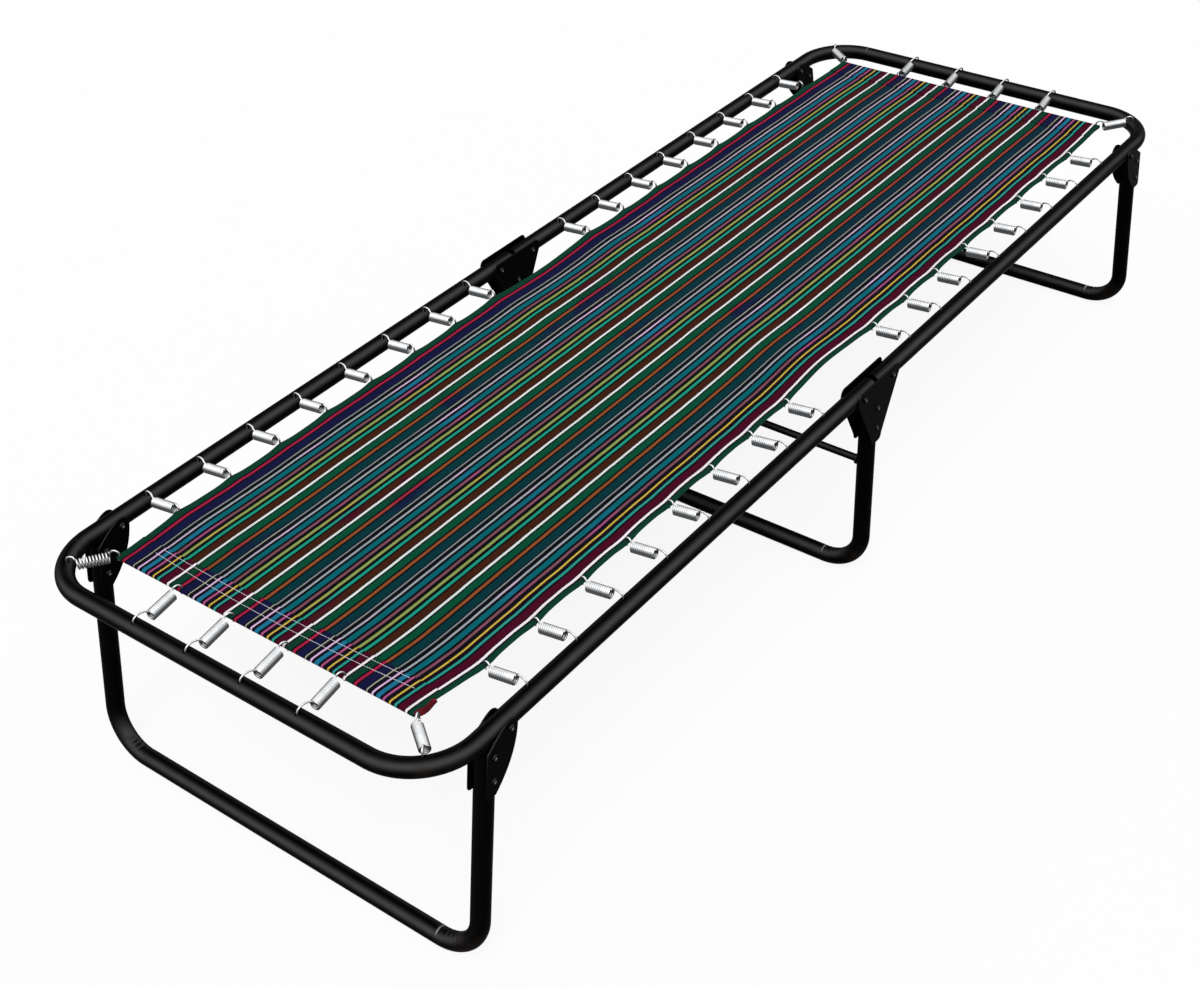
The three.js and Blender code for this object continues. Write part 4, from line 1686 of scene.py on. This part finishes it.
@dataclass
class Canvas:
    """The striped canvas: two halves that meet at the hinge, each with a sewn hem round its end rod."""

    plan: Plan
    finishes: Finishes
    springs: SpringSet
    left_edge: float = 252.5 * MM
    right_edge: float = -255.0 * MM
    thickness: float = 1.1 * MM
    layer_gap: float = 0.15 * MM
    fold_radius: float = 2.1 * MM
    hem_depth: float = 47 * MM
    hem_rise: float = 26 * MM
    along_step: float = 4.5 * MM
    across_step: float = 4 * MM
    drop_steps: int = 7
    fold_steps: int = 11
    climb_steps: int = 8
    end_steps: int = 3
    sharp_angle: float = 55.0
    sag: float = 1.8 * MM
    wave_height: float = 0.35 * MM
    wave_length: float = 41 * MM
    wave_width: float = 90 * MM
    ridge_height: float = 0.9 * MM
    ridge_width: float = 9 * MM
    ridge_flare: float = 0.25
    ridge_reach: float = 34 * MM
    stitch_rows: tuple[StitchRow, ...] = (
        StitchRow(33 * MM, -223 * MM, 215 * MM, 9 * MM),
        StitchRow(42.6 * MM, -205 * MM, 209.5 * MM, 4 * MM),
    )
    stitch_length: float = 3.6 * MM
    stitch_gap: float = 0.7 * MM
    stitch_crown: tuple[float, ...] = (-0.5, 0.35, 0.75, 0.75, 0.35, -0.5)
    thread_radius: float = 0.34 * MM
    thread_sides: int = 6
    flap_grid: tuple[int, int] = (15, 7)
    flap_length: float = 30 * MM
    flap_width: float = 10 * MM
    flap_rise: float = 2.2 * MM
    flap_thickness: float = 1.2 * MM
    flap_sharp_angle: float = 70.0
    bend_start: float = 100 * MM

    def pulls(self) -> list[Pull]:
        """Lists the pulls on the edges.

        Returns:
            One pull for each side spring, and those of the hinge and the corners.
        """
        hinge, foot, head = self.plan.hinge_x, *(self.plan.x_at(end, 69 * MM) for end in End)
        made = [
            Pull(hinge, Side.LEFT, -3.5, 62, 110), Pull(hinge, Side.RIGHT, -7.5, 72, 150),
            Pull(foot, Side.RIGHT, -14.5, 72, 170), Pull(foot, Side.LEFT, -2.5, 60, 90),
            Pull(foot + 110 * MM, Side.LEFT, 2.5, 60, 130), Pull(head, Side.LEFT, -4.0, 110, 500),
            Pull(head, Side.RIGHT, -3.5, 60, 60),
        ]
        for end in End:
            places = [self.plan.x_at(end, inset) for inset in self.springs.side_insets(end)]
            for x in places:
                made += [Pull(x, Side.LEFT, 2.2, 17, 6), Pull(x, Side.RIGHT, 3.2, 18, 26)]
            made.append(Pull(places[-1], Side.LEFT, 2.5, 45, 130))
        return made

    def inside(self, across: np.ndarray, side: Side) -> np.ndarray:
        """How far places across the cloth lie in from its edge on one side."""
        edge = self.left_edge if side is Side.LEFT else -self.right_edge
        return np.clip(edge - side.value * across, 0, None)

    def shifted(self, x: np.ndarray, across: np.ndarray) -> np.ndarray:
        """Y of the cloth at places, with every pull felt.

        Args:
            x: X of the places.
            across: Their distances across the unstretched cloth.

        Returns:
            Y of the places.
        """
        y = across.astype(float).copy()
        for pull in self.pulls():
            along = np.exp(-(((x - pull.x) / (pull.reach * MM)) ** 2))
            felt = along * np.exp(-self.inside(across, pull.side) / (pull.depth * MM))
            y += pull.side.value * pull.outward * MM * felt
        return y

    def lift(self, x: np.ndarray, across: np.ndarray) -> np.ndarray:
        """Height of the cloth over its level plane: a slight sag, ridges at the springs and soft waves.

        Args:
            x: X of the places.
            across: Their distances across the unstretched cloth.

        Returns:
            The heights.
        """
        share = np.clip(across / self.left_edge, -1, 1)
        sag = self.sag * (1 - share**2) * np.cos(x / self.plan.rail_inset * np.pi / 2) ** 2
        waves = np.sin(x / self.wave_length + 2.1 * np.sin(across / self.wave_width)) * (0.3 + share**2)
        ridges = np.zeros_like(x)
        for end in End:
            for inset in self.springs.side_insets(end):
                for side in Side:
                    inside = self.inside(across, side)
                    width = self.ridge_width + inside * self.ridge_flare
                    along = (x - self.plan.x_at(end, inset)) / width
                    ridges += np.exp(-(along**2)) * np.exp(-inside / self.ridge_reach)
        return self.wave_height * waves + self.ridge_height * ridges - sag

    def fold_line(self, end: End) -> np.ndarray:
        """The cloth's line along the bed, seen from the side.

        Args:
            end: The half.

        Returns:
            Rows of X, height over the canvas plane, path from the hinge, and how much of the hem it is.
        """
        rod, radius = self.springs.rod_inset, self.fold_radius
        seam = end.value * (self.plan.x_at(end, 0) - self.plan.hinge_x)
        rise_start = rod + self.hem_rise
        lift = self.thickness + self.layer_gap
        flat = np.linspace(seam, rise_start, round((seam - rise_start) / self.along_step))
        rows = [(inset, 0.0, 0.0) for inset in flat]
        for share in np.linspace(0, 1, self.drop_steps + 1)[1:]:
            rows.append((rise_start - self.hem_rise * share, -radius * eased(share), 0.0))
        for angle in np.linspace(0, math.pi, self.fold_steps + 1)[1:]:
            hem = 1.0 if angle > math.pi / 4 else 0.0
            rows.append((rod - radius * math.sin(angle), -radius * math.cos(angle), hem))
        for share in np.linspace(0, 1, self.climb_steps + 1)[1:]:
            rows.append((rod + self.hem_rise * share, radius + (lift - radius) * eased(share), 1.0))
        hem_end = rod - radius + self.hem_depth
        for inset in np.linspace(rod + self.hem_rise, hem_end, self.end_steps + 1)[1:]:
            rows.append((inset, lift, 1.0))
        inset, height, hem = np.array(rows).T
        path = np.concatenate([[0], np.cumsum(np.hypot(np.diff(inset), np.diff(height)))])
        return np.stack([end.value * (self.plan.rail_inset - inset), height, path, hem], 1)

    def surface(self, x: np.ndarray, height: np.ndarray, across: np.ndarray) -> np.ndarray:
        """Points of the cloth's middle.

        Args:
            x: X of each place.
            height: Its height over the canvas plane, from the fold line.
            across: Its distance across the cloth.

        Returns:
            The points.
        """
        z = self.plan.canvas_height + height + self.lift(x, across)
        return np.stack([x, self.shifted(x, across), z], -1)

    def half(self, end: End) -> Piece:
        """Makes one half of the canvas as a sheet with its real thickness.

        Args:
            end: The half.

        Returns:
            The sheet.
        """
        line = self.fold_line(end)
        count = round((self.left_edge - self.right_edge) / self.across_step)
        across = np.linspace(self.right_edge, self.left_edge, count + 1)
        x, u = np.meshgrid(line[:, 0], across, indexing="ij")
        middle = self.surface(x, np.broadcast_to(line[:, 1:2], x.shape), u)
        out = np.cross(np.gradient(middle, axis=0), np.gradient(middle, axis=1)) * end.value
        out *= self.thickness / 2 / np.linalg.norm(out, axis=2)[..., None]
        shell = slab(middle + out, middle - out, end is End.FOOT)
        sheet = new_piece(f"{end.word}_canvas_sheet", *shell, self.sharp_angle)
        self.lay_weave(sheet, end, line, across)
        sheet.data.materials.append(self.finishes.canvas)
        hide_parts(f"canvas_{end.word}_half")
        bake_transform(sheet)
        self.stitches(end) + self.corner_flap(end)
        return sheet

    def lay_weave(self, sheet: Piece, end: End, line: np.ndarray, across: np.ndarray) -> None:
        """Stores where each vertex lies in the flat cloth, and which part is hem.

        Args:
            sheet: The half of the canvas.
            end: Which half.
            line: Its fold line.
            across: Distances across the cloth.
        """
        path, u = np.meshgrid(end.value * line[:, 2], across, indexing="ij")
        flat = np.tile(np.stack([u.ravel(), path.ravel()], 1), (2, 1))
        mesh = sheet.data
        corners = np.zeros(len(mesh.loops), int)
        mesh.loops.foreach_get("vertex_index", corners)
        weave = mesh.uv_layers.new(name="weave")
        weave.data.foreach_set("uv", flat[corners].astype(np.float32).ravel())
        add_values(sheet, "hem", np.tile(np.broadcast_to(line[:, 3:4], u.shape).ravel(), 2))

    def stitches(self, end: End) -> list[Piece]:
        """Sews two rows of stitches along one hem.

        Args:
            end: The half.

        Returns:
            Each row as one piece.
        """
        line = self.fold_line(end)
        flap = line[np.argmax(line[:, 1]) :]
        flap = flap[np.argsort(flap[:, 0])]
        edge_x = self.plan.x_at(end, self.springs.rod_inset - self.fold_radius)
        crown = np.array(self.stitch_crown) * self.thread_radius
        made = []
        for number, row in enumerate(self.stitch_rows, 1):
            shells = []
            for start in np.arange(row.right, row.left, self.stitch_length + self.stitch_gap):
                u = start + np.linspace(0, self.stitch_length, len(crown))
                x = edge_x - end.value * row.inset_at(u)
                height = np.interp(x, flap[:, 0], flap[:, 1]) + self.thickness / 2
                points = self.surface(x, height, u)
                points[:, 2] += crown
                shells.append(wire_shell(points, self.thread_radius, self.thread_sides))
            seam = new_piece(f"{end.word}_hem_stitches_{number}", *joined(shells), WIRE_SHARP_ANGLE)
            made.append(dress(seam, self.finishes.threads[end], end.frame_body))
        return made

    def corner_flap(self, end: End) -> list[Piece]:
        """Folds the red corner of the hem, which shows at the near corner of the foot end.

        Args:
            end: The half.

        Returns:
            The flap at the foot end, nothing at the head end.
        """
        if end is not End.FOOT:
            return []
        share, out = np.meshgrid(*(np.linspace(0, 1, count) for count in self.flap_grid))
        x = self.plan.x_at(end, self.springs.rod_inset - 1 * MM) + self.flap_length * share
        y = self.shifted(x, np.full(x.shape, self.right_edge)) + 2.5 * MM
        reach = self.flap_width * (0.75 + 0.35 * np.sin(np.pi * share * 0.9)) * (1 - 0.25 * share)
        curl = self.flap_rise * np.sin(np.pi * out) + 0.8 * MM * np.sin(7 * share + 2 * out)
        z = self.plan.canvas_height + curl - 1.2 * MM * out
        grid = np.stack([x + 2 * MM * out * share, y - reach * out, z], -1)
        thick = np.array([0, 0, self.flap_thickness])
        shell = slab(grid + thick * 0.75, grid - thick * 0.25, False)
        flap = new_piece("foot_hem_corner_flap", *shell, self.flap_sharp_angle)
        return [dress(flap, self.finishes.lining, end.frame_body)]

    def build(self) -> list[Piece]:
        """Makes both halves."""
        return [self.half(end) for end in End]


# Room


@dataclass
class Studio:
    """The photograph's camera, a plain pale floor and soft light."""

    camera_place: Point = (-1.8556, -1.3132, 1.7289)
    camera_aim: Point = (-0.4300, -0.1688, 0.3455)
    camera_roll: float = -2.95
    lens: float = 54.15
    sensor: float = 36
    clip: Spot = (0.05, 300)
    floor_size: float = 120.0
    floor_drop: float = 0.6 * MM
    sun_heading: Point = (-0.50, -0.40, 1.0)
    sun_strength: float = 2.15
    sun_spread: float = 34.0
    sky_strength: float = 0.42
    backdrop_share: float = 0.9

    def camera(self) -> None:
        """Stands the camera where the photograph was taken from."""
        data = bpy.data.cameras.new("camera")
        data.lens = self.lens
        data.sensor_width = self.sensor
        data.clip_start, data.clip_end = self.clip
        camera = linked("camera", data)
        place = Vector(self.camera_place)
        level = (Vector(self.camera_aim) - place).to_track_quat("-Z", "Y")
        camera.rotation_mode = "QUATERNION"
        camera.location = place
        camera.rotation_quaternion = level @ Quaternion((0, 0, 1), math.radians(self.camera_roll))
        bpy.context.scene.camera = camera

    def floor(self) -> None:
        """Lays the floor, white to the camera and in reflections, with the cot's soft shadow on it."""
        half, z = self.floor_size / 2, -self.floor_drop
        corners = np.array([(-half, -half, z), (half, -half, z), (half, half, z), (-half, half, z)])
        floor = new_piece("floor", corners, [[0, 1, 2, 3]])
        desk = MaterialDesk("pale_floor")
        grain = desk.spread(desk.noise(desk.place(), 3, 3), 0.90, 0.94)
        desk.surface(desk.add("CombineColor", {0: grain, 1: grain, 2: grain}).outputs[0], 0.9, 0.0)
        white = desk.add("Emission", {"Color": (1, 1, 1, 1), "Strength": 1.0}).outputs[0]
        share = desk.times(desk.seen(), self.backdrop_share)
        both = desk.add("MixShader", {0: share, 1: desk.shader.outputs[0], 2: white}).outputs[0]
        desk.feed(desk.tree.nodes["Material Output"], {"Surface": both})
        floor.data.materials.append(desk.material)

    def light(self) -> None:
        """Sets a broad soft sun above the camera's side, and an even sky."""
        data = bpy.data.lights.new("soft_sun", "SUN")
        data.energy = self.sun_strength
        data.angle = math.radians(self.sun_spread)
        sun = linked("soft_sun", data)
        sun.rotation_mode = "QUATERNION"
        sun.rotation_quaternion = (-Vector(self.sun_heading)).to_track_quat("-Z", "Y")
        world = bpy.data.worlds.new("sky")
        bpy.context.scene.world = world
        world.use_nodes = True
        desk = NodeDesk(world.node_tree)
        strength = desk.spread(desk.seen(), self.sky_strength, 1.0)
        desk.feed(desk.tree.nodes["Background"], {"Color": (1, 1, 1, 1), "Strength": strength})

    def build(self) -> None:
        """Sets up the camera, the floor and the light."""
        self.camera()
        self.floor()
        self.light()
        bpy.context.scene.view_settings.view_transform = "Standard"


def main() -> None:
    """Builds the cot's looks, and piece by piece."""
    logging.basicConfig(level=logging.INFO, format="%(message)s")
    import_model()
    plan = Plan.read()
    finishes = Finishes.build()
    springs = SpringSet(plan, finishes)
    legs = Legs(plan, finishes)
    parts: list[tuple[str, Callable[[], list[Piece]]]] = [
        ("frame", TubeFrame(plan, finishes, springs).build),
        ("legs", legs.build),
        ("brackets", Brackets(plan, finishes, legs).build),
        ("springs", springs.build),
        ("canvas", Canvas(plan, finishes, springs).build),
    ]
    for label, build in parts:
        for piece in build():
            log.info("%s: %s, %d faces", label, piece.name, len(piece.data.polygons))
    Studio().build()


if __name__ == "__main__":
    main()
